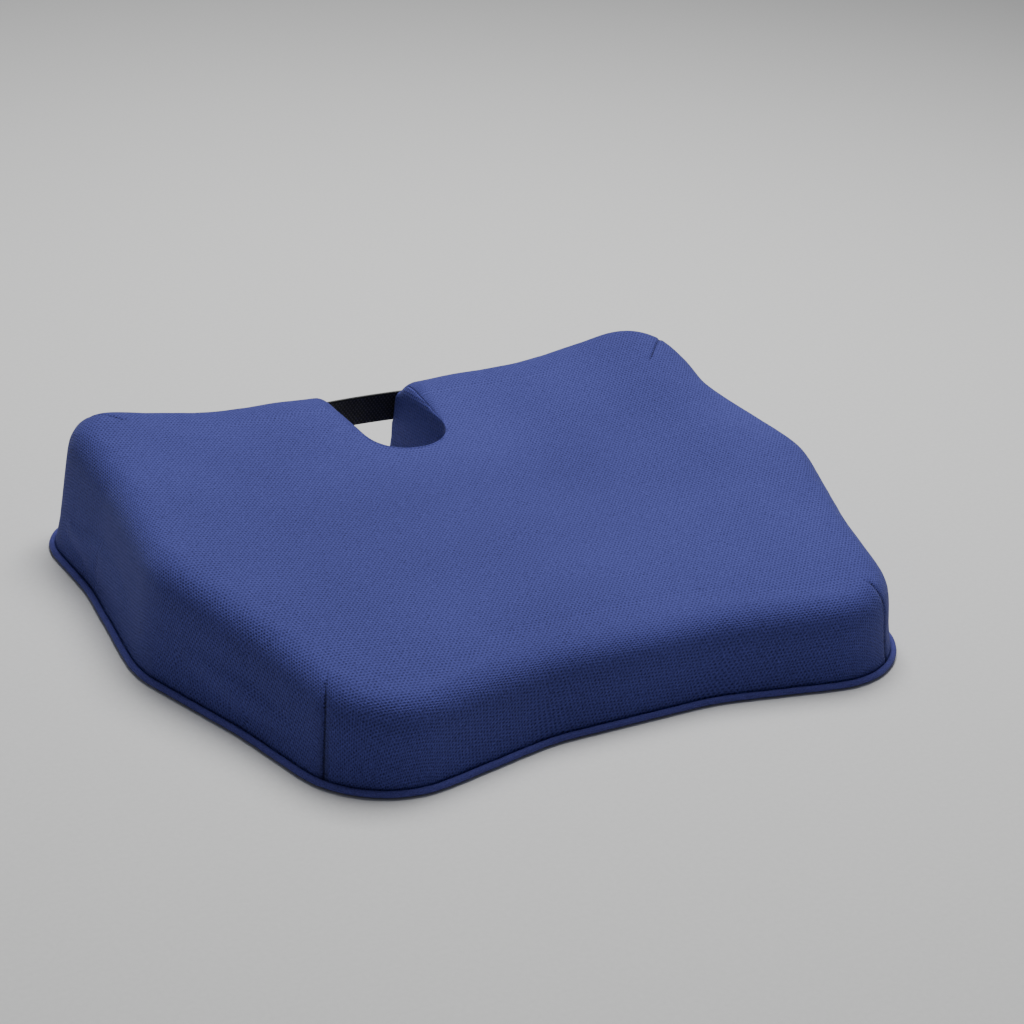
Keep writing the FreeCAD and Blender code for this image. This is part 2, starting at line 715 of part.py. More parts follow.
def make_handle():
    """Webbing across the notch's mouth: the free span, its two sewn ends and their bar tacks."""
    body = doc.addObject("PartDesign::Body", "handle_webbing")
    plan = body_sketch(body, "span_plan", "-sizes.strap_width / 2")
    free = size("strap_free_half") - size("strap_gap")
    bow = size("strap_bow")
    thick = size("strap_thickness")
    inner = Part.Arc(Vector(-free, 0, 0), Vector(0, bow, 0), Vector(free, 0, 0))
    outer = Part.Arc(Vector(-free, thick, 0), Vector(0, bow + thick, 0), Vector(free, thick, 0))
    plan.addGeometry([inner, outer, Part.LineSegment(Vector(free, 0, 0), Vector(free, thick, 0)),
                      Part.LineSegment(Vector(-free, thick, 0), Vector(-free, 0, 0)),
                      Part.Point(Vector(0, bow, 0)), Part.Point(Vector(0, bow + thick, 0))], False)
    in_arc, out_arc, right_end, left_end, in_crown, out_crown = range(6)
    plan.addConstraint([
        Sketcher.Constraint("Coincident", in_arc, 2, left_end, 2),
        Sketcher.Constraint("Coincident", in_arc, 1, right_end, 1),
        Sketcher.Constraint("Coincident", out_arc, 1, right_end, 2),
        Sketcher.Constraint("Coincident", out_arc, 2, left_end, 1),
        Sketcher.Constraint("Vertical", right_end),
        Sketcher.Constraint("Vertical", left_end),
        Sketcher.Constraint("PointOnObject", right_end, 1, -1),
        Sketcher.Constraint("PointOnObject", left_end, 2, -1),
        Sketcher.Constraint("DistanceX", -1, 1, right_end, 1, free),
        Sketcher.Constraint("DistanceX", left_end, 2, -1, 1, free),
        Sketcher.Constraint("DistanceY", right_end, 1, right_end, 2, thick),
        Sketcher.Constraint("Equal", right_end, left_end),
        Sketcher.Constraint("PointOnObject", in_crown, 1, -2),
        Sketcher.Constraint("PointOnObject", out_crown, 1, -2),
        Sketcher.Constraint("PointOnObject", in_crown, 1, in_arc),
        Sketcher.Constraint("PointOnObject", out_crown, 1, out_arc),
        Sketcher.Constraint("DistanceY", -1, 1, in_crown, 1, bow),
        Sketcher.Constraint("DistanceY", in_crown, 1, out_crown, 1, thick),
    ])
    free_text = "sizes.strap_free_half - sizes.strap_gap"
    for index, text in ((8, free_text), (9, free_text), (10, "sizes.strap_thickness"),
                        (16, "sizes.strap_bow"), (17, "sizes.strap_thickness")):
        plan.setExpression(f"Constraints[{index}]", text)
    pad(body, plan, "sizes.strap_width", "span")
    lean_on_back_wall(body, "sizes.strap_height", "sizes.strap_gap")
    pieces = [body]
    end_middle = "(sizes.strap_free_half + sizes.strap_end_length / 2)"
    tack_away = "sizes.strap_gap + sizes.strap_thickness"
    tacks = []
    for name, sign in (("left", "-"), ("right", "")):
        pieces.append(wall_box(f"handle_end_{name}", f"{sign}{end_middle}", "sizes.strap_end_length",
                               "sizes.strap_thickness", "sizes.strap_width",
                               "sizes.strap_height", "sizes.strap_gap"))
        for edge, side in (("inner", "-"), ("outer", "+")):
            reach = f"({end_middle} {side} (sizes.strap_end_length / 2 - sizes.tack_inset))"
            tacks.append(wall_box(f"tack_{name}_{edge}", f"{sign}{reach}", "sizes.tack_width",
                                  "sizes.tack_proud", "sizes.tack_height",
                                  "sizes.strap_height", tack_away))
    pieces.append(fuse("handle_bar_tacks", *tacks))
    return pieces


def make_label():
    """Blank care label, sewn into the back seam."""
    return wall_box("care_label", "sizes.label_place", "sizes.label_width",
                    "sizes.label_thickness", "sizes.label_height",
                    "sizes.label_lift + sizes.label_height / 2", "sizes.cover_gap")


# ---------------------------------------------------------------- build, check and write
def build_all():
    """Makes every sub-part and returns them in a list."""
    outer, top_panel = make_top_panel()
    subparts = [make_foam(), *make_gel(), top_panel, make_notch_band(outer)]
    subparts += make_bottom_panels()
    subparts += make_piping()
    tapes, coils = make_tapes_and_coils()
    subparts += tapes + coils + make_stops(tapes) + make_end_tabs()
    subparts += [make_slider(), make_pull()]
    subparts += make_handle()
    subparts.append(make_label())
    return subparts


subparts = build_all()
doc.recompute()

for thing in doc.Objects:
    if "Invalid" in thing.State or "Error" in thing.State:
        raise RuntimeError(f"{thing.Name} is {thing.State}")

for subpart in subparts:
    shape = subpart.Shape
    if shape.isNull() or not shape.isValid() or not shape.Solids:
        raise RuntimeError(f"{subpart.Name} has no sound solid")
    subpart.Label = subpart.Name
    shape.exportStep(os.path.join("parts", f"{subpart.Label}.step"))
    span = shape.optimalBoundingBox()
    print(f"{subpart.Label}: {len(shape.Solids)} solid(s), {shape.Volume / 1000:.2f} cm3, "
          f"x {span.XMin:.1f} {span.XMax:.1f}, y {span.YMin:.1f} {span.YMax:.1f}, "
          f"z {span.ZMin:.2f} {span.ZMax:.2f}")
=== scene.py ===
# %% [markdown]
# # A wedge seat cushion, from the inside out
# The object is a foam wedge with a notch for the tailbone, dressed in a stretched knit cover.
# The frame, packed from the solid model, already says where every part is and how it moves.
# This lesson gives each part its real surface: knit pulled over foam, a soft piped edge,
# a coil zip, woven webbing and plated metal. Lengths are in metres, Z is up, and the
# cushion's front edge faces -Y.

# %% Load the frame
import math

import bmesh
import bpy
import numpy as np
from mathutils import Matrix, Vector
from mathutils.bvhtree import BVHTree


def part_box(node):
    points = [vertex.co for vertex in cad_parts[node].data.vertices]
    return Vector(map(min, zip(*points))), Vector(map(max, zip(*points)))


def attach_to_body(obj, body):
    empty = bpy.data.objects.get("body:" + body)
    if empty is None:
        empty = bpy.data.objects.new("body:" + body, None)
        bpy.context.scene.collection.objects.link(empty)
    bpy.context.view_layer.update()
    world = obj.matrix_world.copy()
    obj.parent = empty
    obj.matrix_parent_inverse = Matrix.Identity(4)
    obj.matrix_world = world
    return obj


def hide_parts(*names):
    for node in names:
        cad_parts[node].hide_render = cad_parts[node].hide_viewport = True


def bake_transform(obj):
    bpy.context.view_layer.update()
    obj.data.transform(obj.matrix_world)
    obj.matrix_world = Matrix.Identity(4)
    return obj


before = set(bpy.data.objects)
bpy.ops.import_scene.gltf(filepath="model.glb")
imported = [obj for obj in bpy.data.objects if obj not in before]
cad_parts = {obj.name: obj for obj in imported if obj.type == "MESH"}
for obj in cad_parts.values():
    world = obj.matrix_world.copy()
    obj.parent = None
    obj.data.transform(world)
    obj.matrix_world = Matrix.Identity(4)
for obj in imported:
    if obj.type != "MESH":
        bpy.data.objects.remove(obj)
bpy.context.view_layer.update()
scene = bpy.context.scene
MM = 0.001

# %% [markdown]
# ## The camera, the floor and the light
# A cushion like this is pictured from above and from one front corner, through a long lens,
# so that its outline stays close to true. The camera turns about a target in the middle of
# the seat: azimuth and elevation say from where it looks, and a small roll tips the picture.

# %% Camera
AZIMUTH, ELEVATION, ROLL = (math.radians(angle) for angle in (-31.39, 25.87, 3.89))
TARGET = Vector((12.4, -2.2, 49.5)) * MM
DISTANCE = 1420.5 * MM

towards_camera = Vector((
    math.sin(AZIMUTH) * math.cos(ELEVATION),
    -math.cos(AZIMUTH) * math.cos(ELEVATION),
    math.sin(ELEVATION),
))
camera = bpy.data.objects.new("camera", bpy.data.cameras.new("camera"))
scene.collection.objects.link(camera)
camera.matrix_world = (
    Matrix.Translation(TARGET + towards_camera * DISTANCE)
    @ towards_camera.to_track_quat("Z", "Y").to_matrix().to_4x4()
    @ Matrix.Rotation(ROLL, 4, "Z")
)
camera.data.lens = 87.1
scene.camera = camera
print("camera stands at", [round(value, 3) for value in camera.matrix_world.translation])

# %% [markdown]
# One large soft lamp hangs above and a little behind the cushion, so that the top is bright
# and the front wall falls into shade, which shows how thick the foam is. A weak wide lamp at
# the side and a pale sky fill the shadows.


# %% Floor and lamps
def soft_lamp(name, place, width, power, tint=(1, 1, 1)):
    """Square lamp at a place, aimed at the cushion."""
    lamp = bpy.data.objects.new(name, bpy.data.lights.new(name, "AREA"))
    scene.collection.objects.link(lamp)
    lamp.data.size = width
    lamp.data.energy = power
    lamp.data.color = tint
    lamp.location = place
    lamp.rotation_euler = (Vector(place) - TARGET).to_track_quat("Z", "Y").to_euler()
    return lamp


soft_lamp("key_lamp", (0.30, 0.42, 1.44), 0.9, 27)
soft_lamp("side_lamp", (-1.6, -0.5, 0.9), 1.0, 0.25, (0.93, 0.96, 1))

sky = bpy.data.worlds.new("sky")
scene.world = sky
sky.use_nodes = True
sky.node_tree.nodes["Background"].inputs["Color"].default_value = (0.93, 0.95, 1, 1)
sky.node_tree.nodes["Background"].inputs["Strength"].default_value = 0.12

floor_shape = bmesh.new()
bmesh.ops.create_grid(floor_shape, x_segments=1, y_segments=1, size=6)
floor = bpy.data.objects.new("floor", bpy.data.meshes.new("floor"))
floor_shape.to_mesh(floor.data)
floor_shape.free()
scene.collection.objects.link(floor)
print("the floor and", len(bpy.data.lights), "lamps are in place")

# %% [markdown]
# ## Finishes
# A finish is a small network of nodes: coordinates go in, a pattern comes out, and the
# pattern drives colour and bump. Short helpers keep every network readable: `finish` starts
# a material, `add` makes a node and `calculate` makes a node that does one sum.


# %% Helpers for finishes
def finish(name, roughness, **sockets):
    """New material; returns it with its tree and shader. Sockets use _ for a space."""
    made = bpy.data.materials.new(name)
    made.use_nodes = True
    shader = made.node_tree.nodes["Principled BSDF"]
    shader.inputs["Roughness"].default_value = roughness
    for socket, value in sockets.items():
        shader.inputs[socket.replace("_", " ")].default_value = value
    return made, made.node_tree, shader


def add(tree, kind, feed=None, **values):
    """New node; feed goes to its Vector input, and values set its options or inputs."""
    made = tree.nodes.new(kind)
    for name, value in values.items():
        if name in made.inputs.keys():
            made.inputs[name].default_value = value
        else:
            setattr(made, name, value)
    if feed is not None:
        tree.links.new(feed, made.inputs["Vector"])
    return made


def calculate(tree, operation, *terms):
    """One sum of numbers or other nodes' outputs."""
    made = tree.nodes.new("ShaderNodeMath")
    made.operation = operation
    for place, term in enumerate(terms):
        if isinstance(term, bpy.types.NodeSocket):
            tree.links.new(term, made.inputs[place])
        else:
            made.inputs[place].default_value = term
    return made.outputs[0]


def two_tone(tree, factor, dark, light):
    """Colour that goes from dark to light as factor goes from 0 to 1."""
    ramp = add(tree, "ShaderNodeValToRGB")
    ramp.color_ramp.elements[0].color = (*dark, 1)
    ramp.color_ramp.elements[1].color = (*light, 1)
    tree.links.new(factor, ramp.inputs[0])
    return ramp.outputs[0]


def colour_and_bump(tree, shader, colour, height, depth):
    """Sends a colour and a height to the shader; depth is the relief in metres."""
    bump = add(tree, "ShaderNodeBump", Strength=1.0, Distance=depth)
    tree.links.new(height, bump.inputs["Height"])
    tree.links.new(bump.outputs["Normal"], shader.inputs["Normal"])
    tree.links.new(colour, shader.inputs["Base Color"])


def speckle(tree, place, scale, detail=2.0):
    """Noise between 0 and 1, scale lumps to the metre."""
    return add(tree, "ShaderNodeTexNoise", place, Scale=scale, Detail=detail).outputs[0]


print("helpers for finishes are ready")

# %% [markdown]
# ### Knit
# The cover is a polyester knit with rows of tiny slanted holes, each row shifted by half a
# step from the next. The cloth's own coordinates are kept in a UV map called `cloth`, in
# metres, so that the rows run on from the top over the edge and down the walls. Inside one
# cell the distance from the hole's middle, measured as an oval, gives both relief and tone.
# A soft noise makes broad paler patches, and a vertex attribute called `seam` darkens the
# thread lines at the darts.


# %% Knit
def lattice(tree, place, turn, across, along):
    """Distance from the middle of the nearest cell of a staggered lattice, as an oval."""
    turned = add(tree, "ShaderNodeMapping", place, vector_type="TEXTURE",
                 Rotation=(0, 0, turn), Scale=(across, along, 1))
    parts = add(tree, "ShaderNodeSeparateXYZ", turned.outputs[0])
    column = calculate(tree, "FLOOR", parts.outputs[0])
    shifted = calculate(tree, "ADD", parts.outputs[1], calculate(tree, "MULTIPLY", column, 0.5))
    side = calculate(tree, "SUBTRACT", calculate(tree, "FRACT", parts.outputs[0]), 0.5)
    ahead = calculate(tree, "SUBTRACT", calculate(tree, "FRACT", shifted), 0.5)
    squares = calculate(tree, "ADD",
                        calculate(tree, "MULTIPLY", side, side),
                        calculate(tree, "MULTIPLY", ahead, ahead))
    return calculate(tree, "MULTIPLY", calculate(tree, "SQRT", squares), 2.0)


def knit_finish(name, dark, light, relief):
    made, tree, shader = finish(name, 0.82, Sheen_Weight=0.12, Sheen_Roughness=0.45,
                                Specular_IOR_Level=0.2)
    shader.inputs["Sheen Tint"].default_value = (0.55, 0.62, 1, 1)
    cloth = add(tree, "ShaderNodeUVMap", uv_map="cloth").outputs[0]
    solid = add(tree, "ShaderNodeTexCoord").outputs["Object"]
    mesh_holes = lattice(tree, cloth, math.radians(-42), 1.8 * MM, 2.6 * MM)
    cell = calculate(tree, "MINIMUM", mesh_holes, 1.0)
    fibre = speckle(tree, solid, 1300)
    patch = speckle(tree, solid, 9, 1.0)
    seam = add(tree, "ShaderNodeAttribute", attribute_name="seam").outputs["Fac"]
    height = calculate(tree, "ADD", cell, calculate(tree, "MULTIPLY", fibre, 0.9))
    tone = calculate(tree, "ADD", calculate(tree, "MULTIPLY", cell, 0.42),
                     calculate(tree, "MULTIPLY", fibre, 0.95))
    tone = calculate(tree, "ADD", tone, calculate(tree, "MULTIPLY", patch, 0.28))
    tone = calculate(tree, "SUBTRACT", tone, calculate(tree, "MULTIPLY", seam, 0.5))
    tone = calculate(tree, "SUBTRACT", tone, 0.42)
    colour_and_bump(tree, shader, two_tone(tree, tone, dark, light), height, relief)
    return made


cover_knit = knit_finish("cover_knit", (0.003, 0.003, 0.030), (0.106, 0.117, 0.49), 0.32 * MM)
piping_knit = knit_finish("piping_knit", (0.005, 0.005, 0.034), (0.112, 0.116, 0.45), 0.2 * MM)
print("knit has", len(cover_knit.node_tree.nodes), "nodes")

# %% [markdown]
# ### The other finishes
# Each of the small parts has a surface of its own: piping cut on the bias, a coarse
# non-slip cloth with rubber dots underneath, ribbed zip tape, nylon, plated metal, woven
# webbing, satin label tape, and, out of sight, foam, gel, film and twisted cord. Two
# patterns cover the woven ones: crossed ribs, and a speckle of pores or scratches.


# %% Finishes of the small parts
def woven(name, dark, light, across, along, relief, roughness=0.8, turn=0.0, **sockets):
    """Cloth of crossed ribs on Object coordinates; across and along are the ribs' pitches."""
    made, tree, shader = finish(name, roughness, **sockets)
    solid = add(tree, "ShaderNodeTexCoord").outputs["Object"]
    turned = add(tree, "ShaderNodeMapping", solid, Rotation=(0, 0, turn))
    parts = add(tree, "ShaderNodeSeparateXYZ", turned.outputs[0])
    ribs = [
        calculate(tree, "ABSOLUTE", calculate(tree, "SINE", calculate(
            tree, "MULTIPLY", parts.outputs[axis], math.pi / pitch)))
        for axis, pitch in ((0, across), (1, along))
    ]
    weave = calculate(tree, "MULTIPLY", *ribs)
    fibre = speckle(tree, solid, 900)
    tone = calculate(tree, "ADD", calculate(tree, "MULTIPLY", weave, 0.7),
                     calculate(tree, "MULTIPLY", fibre, 0.4))
    colour_and_bump(tree, shader, two_tone(tree, tone, dark, light), weave, relief)
    return made


def speckled(name, dark, light, scale, relief, roughness, **sockets):
    """Moulded, cast or plated surface with fine pores, scratches or cells."""
    made, tree, shader = finish(name, roughness, **sockets)
    solid = add(tree, "ShaderNodeTexCoord").outputs["Object"]
    fine = speckle(tree, solid, scale, 3.0)
    broad = speckle(tree, solid, scale / 25, 1.0)
    tone = calculate(tree, "ADD", calculate(tree, "MULTIPLY", fine, 0.6),
                     calculate(tree, "MULTIPLY", broad, 0.4))
    colour_and_bump(tree, shader, two_tone(tree, tone, dark, light), fine, relief)
    return made


base_cloth = woven("base_cloth", (0.008, 0.008, 0.013), (0.035, 0.036, 0.055),
                   1.3 * MM, 1.3 * MM, 0.15 * MM)
tape_cloth = woven("tape_cloth", (0.006, 0.008, 0.035), (0.03, 0.038, 0.14),
                   0.9 * MM, 1.6 * MM, 0.10 * MM)
tab_cloth = woven("tab_cloth", (0.006, 0.007, 0.02), (0.03, 0.033, 0.07),
                  0.8 * MM, 0.8 * MM, 0.08 * MM)
label_satin = woven("label_satin", (0.5, 0.49, 0.46), (0.84, 0.83, 0.8),
                    0.5 * MM, 0.9 * MM, 0.04 * MM, 0.5, Sheen_Weight=0.2)
thread = speckled("thread", (0.004, 0.004, 0.006), (0.035, 0.035, 0.045), 2500, 0.05 * MM, 0.5)
grip_rubber = speckled("grip_rubber", (0.020, 0.020, 0.026), (0.065, 0.066, 0.080), 700,
                       0.03 * MM, 0.55)
coil_nylon = speckled("coil_nylon", (0.008, 0.010, 0.045), (0.028, 0.034, 0.13), 600,
                      0.01 * MM, 0.35)
nickel = speckled("nickel", (0.30, 0.29, 0.27), (0.52, 0.51, 0.49), 800, 0.006 * MM, 0.3,
                  Metallic=1.0)
memory_foam = speckled("memory_foam", (0.62, 0.58, 0.45), (0.86, 0.84, 0.74), 900,
                       0.2 * MM, 0.95)
cooling_gel = speckled("cooling_gel", (0.05, 0.25, 0.6), (0.16, 0.5, 0.85), 120,
                       0.05 * MM, 0.15, Transmission_Weight=0.4, Coat_Weight=0.3)
gel_film = speckled("gel_film", (0.2, 0.45, 0.75), (0.4, 0.65, 0.9), 300, 0.02 * MM, 0.25)
filler_twist = woven("filler_twist", (0.5, 0.48, 0.42), (0.85, 0.83, 0.78),
                     1.2 * MM, 1.2 * MM, 0.1 * MM, 0.9, math.radians(35))

floor_finish, floor_tree, floor_shader = finish("pale_floor", 0.75)
floor_place = add(floor_tree, "ShaderNodeTexCoord").outputs["Object"]
floor_grain = speckle(floor_tree, floor_place, 350)
colour_and_bump(floor_tree, floor_shader,
                two_tone(floor_tree, floor_grain, (0.76, 0.76, 0.75), (0.84, 0.84, 0.83)),
                floor_grain, 0.05 * MM)
floor.data.materials.append(floor_finish)

for node, material in (("foam_core", memory_foam), ("gel_pad", cooling_gel),
                       ("gel_film", gel_film)):
    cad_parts[node].data.materials.clear()
    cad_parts[node].data.materials.append(material)
print(len(bpy.data.materials), "finishes are ready")

# %% [markdown]
# ## Helpers for shapes
# A shape is a bmesh while it is worked on and a piece once it is placed in the scene.
# `part_shape` gives the frame's own solids as one shape, with their loose triangles joined.
# `settle` turns modifiers into real mesh, and `attach` makes a piece ride on its body and stand
# for its part of the frame.


# %% Helpers for shapes
def part_shape(*nodes):
    """Shape of parts of the frame, with their triangles merged."""
    shape = bmesh.new()
    for node in nodes:
        shape.from_mesh(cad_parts[node].data)
    bmesh.ops.remove_doubles(shape, verts=shape.verts, dist=0.001 * MM)
    return shape


def piece_of(name, shape, material, smooth=True):
    """Piece made from a shape; the shape is used up."""
    piece = bpy.data.objects.new(name, bpy.data.meshes.new(name))
    shape.to_mesh(piece.data)
    shape.free()
    scene.collection.objects.link(piece)
    piece.data.materials.clear()
    piece.data.materials.append(material)
    piece.data.polygons.foreach_set("use_smooth", [smooth] * len(piece.data.polygons))
    return piece


def settle(piece):
    """Makes a piece's modifiers part of its mesh."""
    ready = piece.evaluated_get(bpy.context.evaluated_depsgraph_get())
    mesh = bpy.data.meshes.new_from_object(ready)
    piece.modifiers.clear()
    piece.data = mesh
    return piece


def attach(piece, body, slot, *nodes):
    """Lets a piece ride on a body, in the place of parts of the frame."""
    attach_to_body(piece, body)
    if nodes:
        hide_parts(*nodes)
    print(piece.name, "has", len(piece.data.polygons), "faces")


def points_of(mesh):
    """Vertex positions and normals as two arrays."""
    place = np.zeros(len(mesh.vertices) * 3)
    normal = np.zeros(len(mesh.vertices) * 3)
    mesh.vertices.foreach_get("co", place)
    mesh.vertices.foreach_get("normal", normal)
    return place.reshape(-1, 3), normal.reshape(-1, 3)


def move_points(mesh, place):
    mesh.vertices.foreach_set("co", place.ravel())
    mesh.update()


def slice_shape(shape, place, way, **clear):
    """Cuts every face that a plane crosses."""
    bmesh.ops.bisect_plane(shape, geom=shape.verts[:] + shape.edges[:] + shape.faces[:],
                           plane_co=place, plane_no=way, **clear)


def thicken(piece, thickness, offset):
    """Gives a sheet its thickness, inwards from its surface or about its middle."""
    cloth = piece.modifiers.new("cloth", "SOLIDIFY")
    cloth.thickness = thickness
    cloth.offset = offset
    settle(piece)


print("helpers for shapes are ready")

# %% [markdown]
# ## The cover, pulled over the foam
# The cover is knit stretched over a foam wedge. It has no flat faces: the walls swell out
# between the piped edge and the rim, and every edge is rounded. The way to get this is to
# wrap the frame's foam, gel and cover in one closed skin, shrink it a little, and let
# cloth simulation blow it up from inside. The skin is held at the base, and no point may
# move further than knit over firm foam would.
#
# Two things make the later cuts clean. A plug, stretched out of a slice of the foam beside
# it, fills the notch, so that the notch can be cut out of the finished skin with a crisp
# rim. And the base is dropped, so that the walls still run straight where the base is cut.

# %% Wrap the wedge in one skin
SKIN_CELL = 4.8 * MM
BASE_TOP = 4 * MM
BASE_FADE = 9 * MM
BASE_DROP = 8 * MM
PLUG_FROM, PLUG_TO = 30 * MM, 34 * MM
PLUG_REAR = 84 * MM
PLUG_STRETCH = 16
PLUG_COVER = 1.4 * MM


def smooth_where(mesh, chosen, times):
    """Evens out the points of a mesh that chosen(point) accepts."""
    shape = bmesh.new()
    shape.from_mesh(mesh)
    picked = [vert for vert in shape.verts if chosen(vert.co)]
    for _ in range(times):
        bmesh.ops.smooth_vert(shape, verts=picked, factor=0.5, use_axis_x=True,
                              use_axis_y=True, use_axis_z=True)
    shape.to_mesh(mesh)
    shape.free()


plug = part_shape("foam_core")
for plane, way in (((PLUG_FROM, 0, 0), (-1, 0, 0)), ((PLUG_TO, 0, 0), (1, 0, 0)),
                   ((0, PLUG_REAR, 0), (0, -1, 0))):
    slice_shape(plug, plane, way, clear_outer=True)
bmesh.ops.holes_fill(plug, edges=plug.edges[:])
bmesh.ops.recalc_face_normals(plug, faces=plug.faces)
plug.normal_update()
for vert in plug.verts:
    vert.co.y += PLUG_COVER if vert.co.y > 160 * MM else 0
    vert.co.z += PLUG_COVER if vert.normal.z > 0.2 else 0
    vert.co.x = (vert.co.x - (PLUG_FROM + PLUG_TO) / 2) * PLUG_STRETCH
plug_mesh = bpy.data.meshes.new("plug")
plug.to_mesh(plug_mesh)
plug.free()
wedge = part_shape("foam_core", "gel_pad", "gel_film", "cover_top_panel", "cover_notch_band")
wedge.from_mesh(plug_mesh)
for vert in wedge.verts:
    if vert.co.z < 3 * MM:
        vert.co.z -= BASE_DROP
skin = piece_of("skin", wedge, cover_knit)
wrap = skin.modifiers.new("wrap", "REMESH")
wrap.mode = "VOXEL"
wrap.voxel_size = SKIN_CELL
settle(skin)

smooth_where(skin.data, lambda point: point.z > BASE_TOP, 2)
firm_shape = bmesh.new()
firm_shape.from_mesh(skin.data)
firm_skin = BVHTree.FromBMesh(firm_shape)
firm_shape.free()
print("skin has", len(skin.data.polygons), "faces")

# %% [markdown]
# The cloth settings matter less than the limits: pressure pushes every point outwards, and
# `TOP_SWELL` and `WALL_SWELL` say how far it may get. The walls may swell more than the
# seat, because nobody sits on them.

# %% Swell the skin
SHRINK = 2.0 * MM
TOP_SWELL = 2.4 * MM
WALL_SWELL = 4.6 * MM

full, outward = points_of(skin.data)
lift = np.clip((full[:, 2] - BASE_TOP) / BASE_FADE, 0, 1)
lift = lift * lift * (3 - 2 * lift)
start = full - outward * (SHRINK * lift)[:, None]
move_points(skin.data, start)

held = skin.vertex_groups.new(name="held")
for index, free in enumerate(lift):
    held.add([index], float(1 - free), "REPLACE")

swell = skin.modifiers.new("swell", "CLOTH")
swell.settings.quality = 5
swell.settings.mass = 0.3
swell.settings.tension_stiffness = 12
swell.settings.compression_stiffness = 12
swell.settings.bending_stiffness = 1.5
swell.settings.use_pressure = True
swell.settings.uniform_pressure_force = 4
swell.settings.effector_weights.gravity = 0
swell.settings.vertex_group_mass = "held"
swell.point_cache.frame_start = 1
swell.point_cache.frame_end = 20
for step in range(1, 21):
    scene.frame_set(step)
settle(skin)
scene.frame_set(1)

swollen, _ = points_of(skin.data)
flatness = np.abs(outward[:, 2])
limit = (TOP_SWELL * flatness + WALL_SWELL * (1 - flatness)) * lift
move = swollen - start
length = np.maximum(np.linalg.norm(move, axis=1), 1e-9)
move_points(skin.data, start + move * np.minimum(1, limit / length)[:, None])
skin.vertex_groups.clear()
print("skin moved by up to", round(float(np.minimum(limit, length).max() / MM), 1), "mm")

# %% [markdown]
# Cloth simulation leaves small dents, and they are smoothed away. Smoothing also eats into
# the rounded edges, but firm foam would not give way, so `press_out` measures how far each
# point has sunk below the first skin and pushes it back. One subdivision then makes the
# skin fine enough to take seams.

# %% Even out and refine the skin
SMOOTH_ABOVE = 16 * MM


def press_out(mesh, under, give):
    """Pushes points that sank further than give below a surface back out."""
    place, _ = points_of(mesh)
    for index, point in enumerate(place):
        point = Vector(point)
        nearest, normal, _, _ = under.find_nearest(point)
        sunk = (nearest - point).dot(normal)
        if sunk > give:
            place[index] = nearest - normal * give
    move_points(mesh, place)


smooth_where(skin.data, lambda point: point.z > SMOOTH_ABOVE, 2)
refine = skin.modifiers.new("refine", "SUBSURF")
refine.levels = refine.render_levels = 1
settle(skin)
press_out(skin.data, firm_skin, 0.3 * MM)
smooth_where(skin.data, lambda point: point.z > SMOOTH_ABOVE, 2)
print("refined skin has", len(skin.data.polygons), "faces")

# %% [markdown]
# No two cushions are stuffed alike. The foam of this one is fuller at its right rear
# shoulder, so the wall is eased out there, in a soft patch that fades to nothing before
# the seam, the notch and the middle of the seat.

# %% Fill out the right rear shoulder
SHOULDER = Vector((205, 118, 66)) * MM
FULLER = 6 * MM

place, _ = points_of(skin.data)
patch = np.exp(-((place[:, 1] - SHOULDER.y) / (32 * MM)) ** 2
               - ((place[:, 2] - SHOULDER.z) / (28 * MM)) ** 2)
patch *= np.clip((place[:, 0] - 150 * MM) / (45 * MM), 0, 1)
place[:, 0] += FULLER * patch
move_points(skin.data, place)
print("shoulder stands out", round(float(place[:, 0].max() / MM), 1), "mm")

# %% [markdown]
# ## The foam under the skin
# The foam is the skin's own shape, a cover's thickness smaller. It is remeshed more
# coarsely, drawn in, and cut for what it makes room for: the notch with its band, the gel pad
# let into its top, and the channel over the zip. `cut_out` does every cut, and the
# faces that it leaves behind have material index 1, so that they can be found again.

# %% Foam core
COVER = 1.2 * MM
FOAM_CELL = 6 * MM
NOTCH_HALF = 26.5 * MM
NOTCH_ROUND = 24.4 * MM


def cut_out(piece, shape):
    """Takes a closed shape away from a piece."""
    tool = piece_of("tool", shape, piece.data.materials[0])
    for cut in (tool, piece):
        while len(cut.data.materials) < 2:
            cut.data.materials.append(piece.data.materials[0])
    tool.data.polygons.foreach_set("material_index", [1] * len(tool.data.polygons))
    bite = piece.modifiers.new("bite", "BOOLEAN")
    bite.operation = "DIFFERENCE"
    bite.solver = "EXACT"
    bite.object = tool
    settle(piece)
    bpy.data.objects.remove(tool)


def block_between(low, high):
    """Block shape between two corners."""
    low, high = Vector(low), Vector(high)
    shape = bmesh.new()
    bmesh.ops.create_cube(shape, size=1, matrix=Matrix.Translation((low + high) / 2)
                          @ Matrix.Diagonal((*(high - low), 1)))
    return shape


def notch_shape(grow):
    """Rounded block that fills the notch, larger by grow all round."""
    low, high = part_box("cover_notch_band")
    half = NOTCH_HALF + grow
    end = low.y + 0.8 * MM - grow
    shape = block_between((-half, end, -15 * MM), (half, high.y + 30 * MM, 115 * MM))
    corners = [edge for edge in shape.edges if all(vert.co.y < end + 1 * MM for vert in edge.verts)
               and abs(edge.verts[0].co.z - edge.verts[1].co.z) > 1 * MM]
    bmesh.ops.bevel(shape, geom=corners, affect="EDGES", offset=NOTCH_ROUND + grow, segments=20,
                    profile=0.5, material=-1)
    return shape


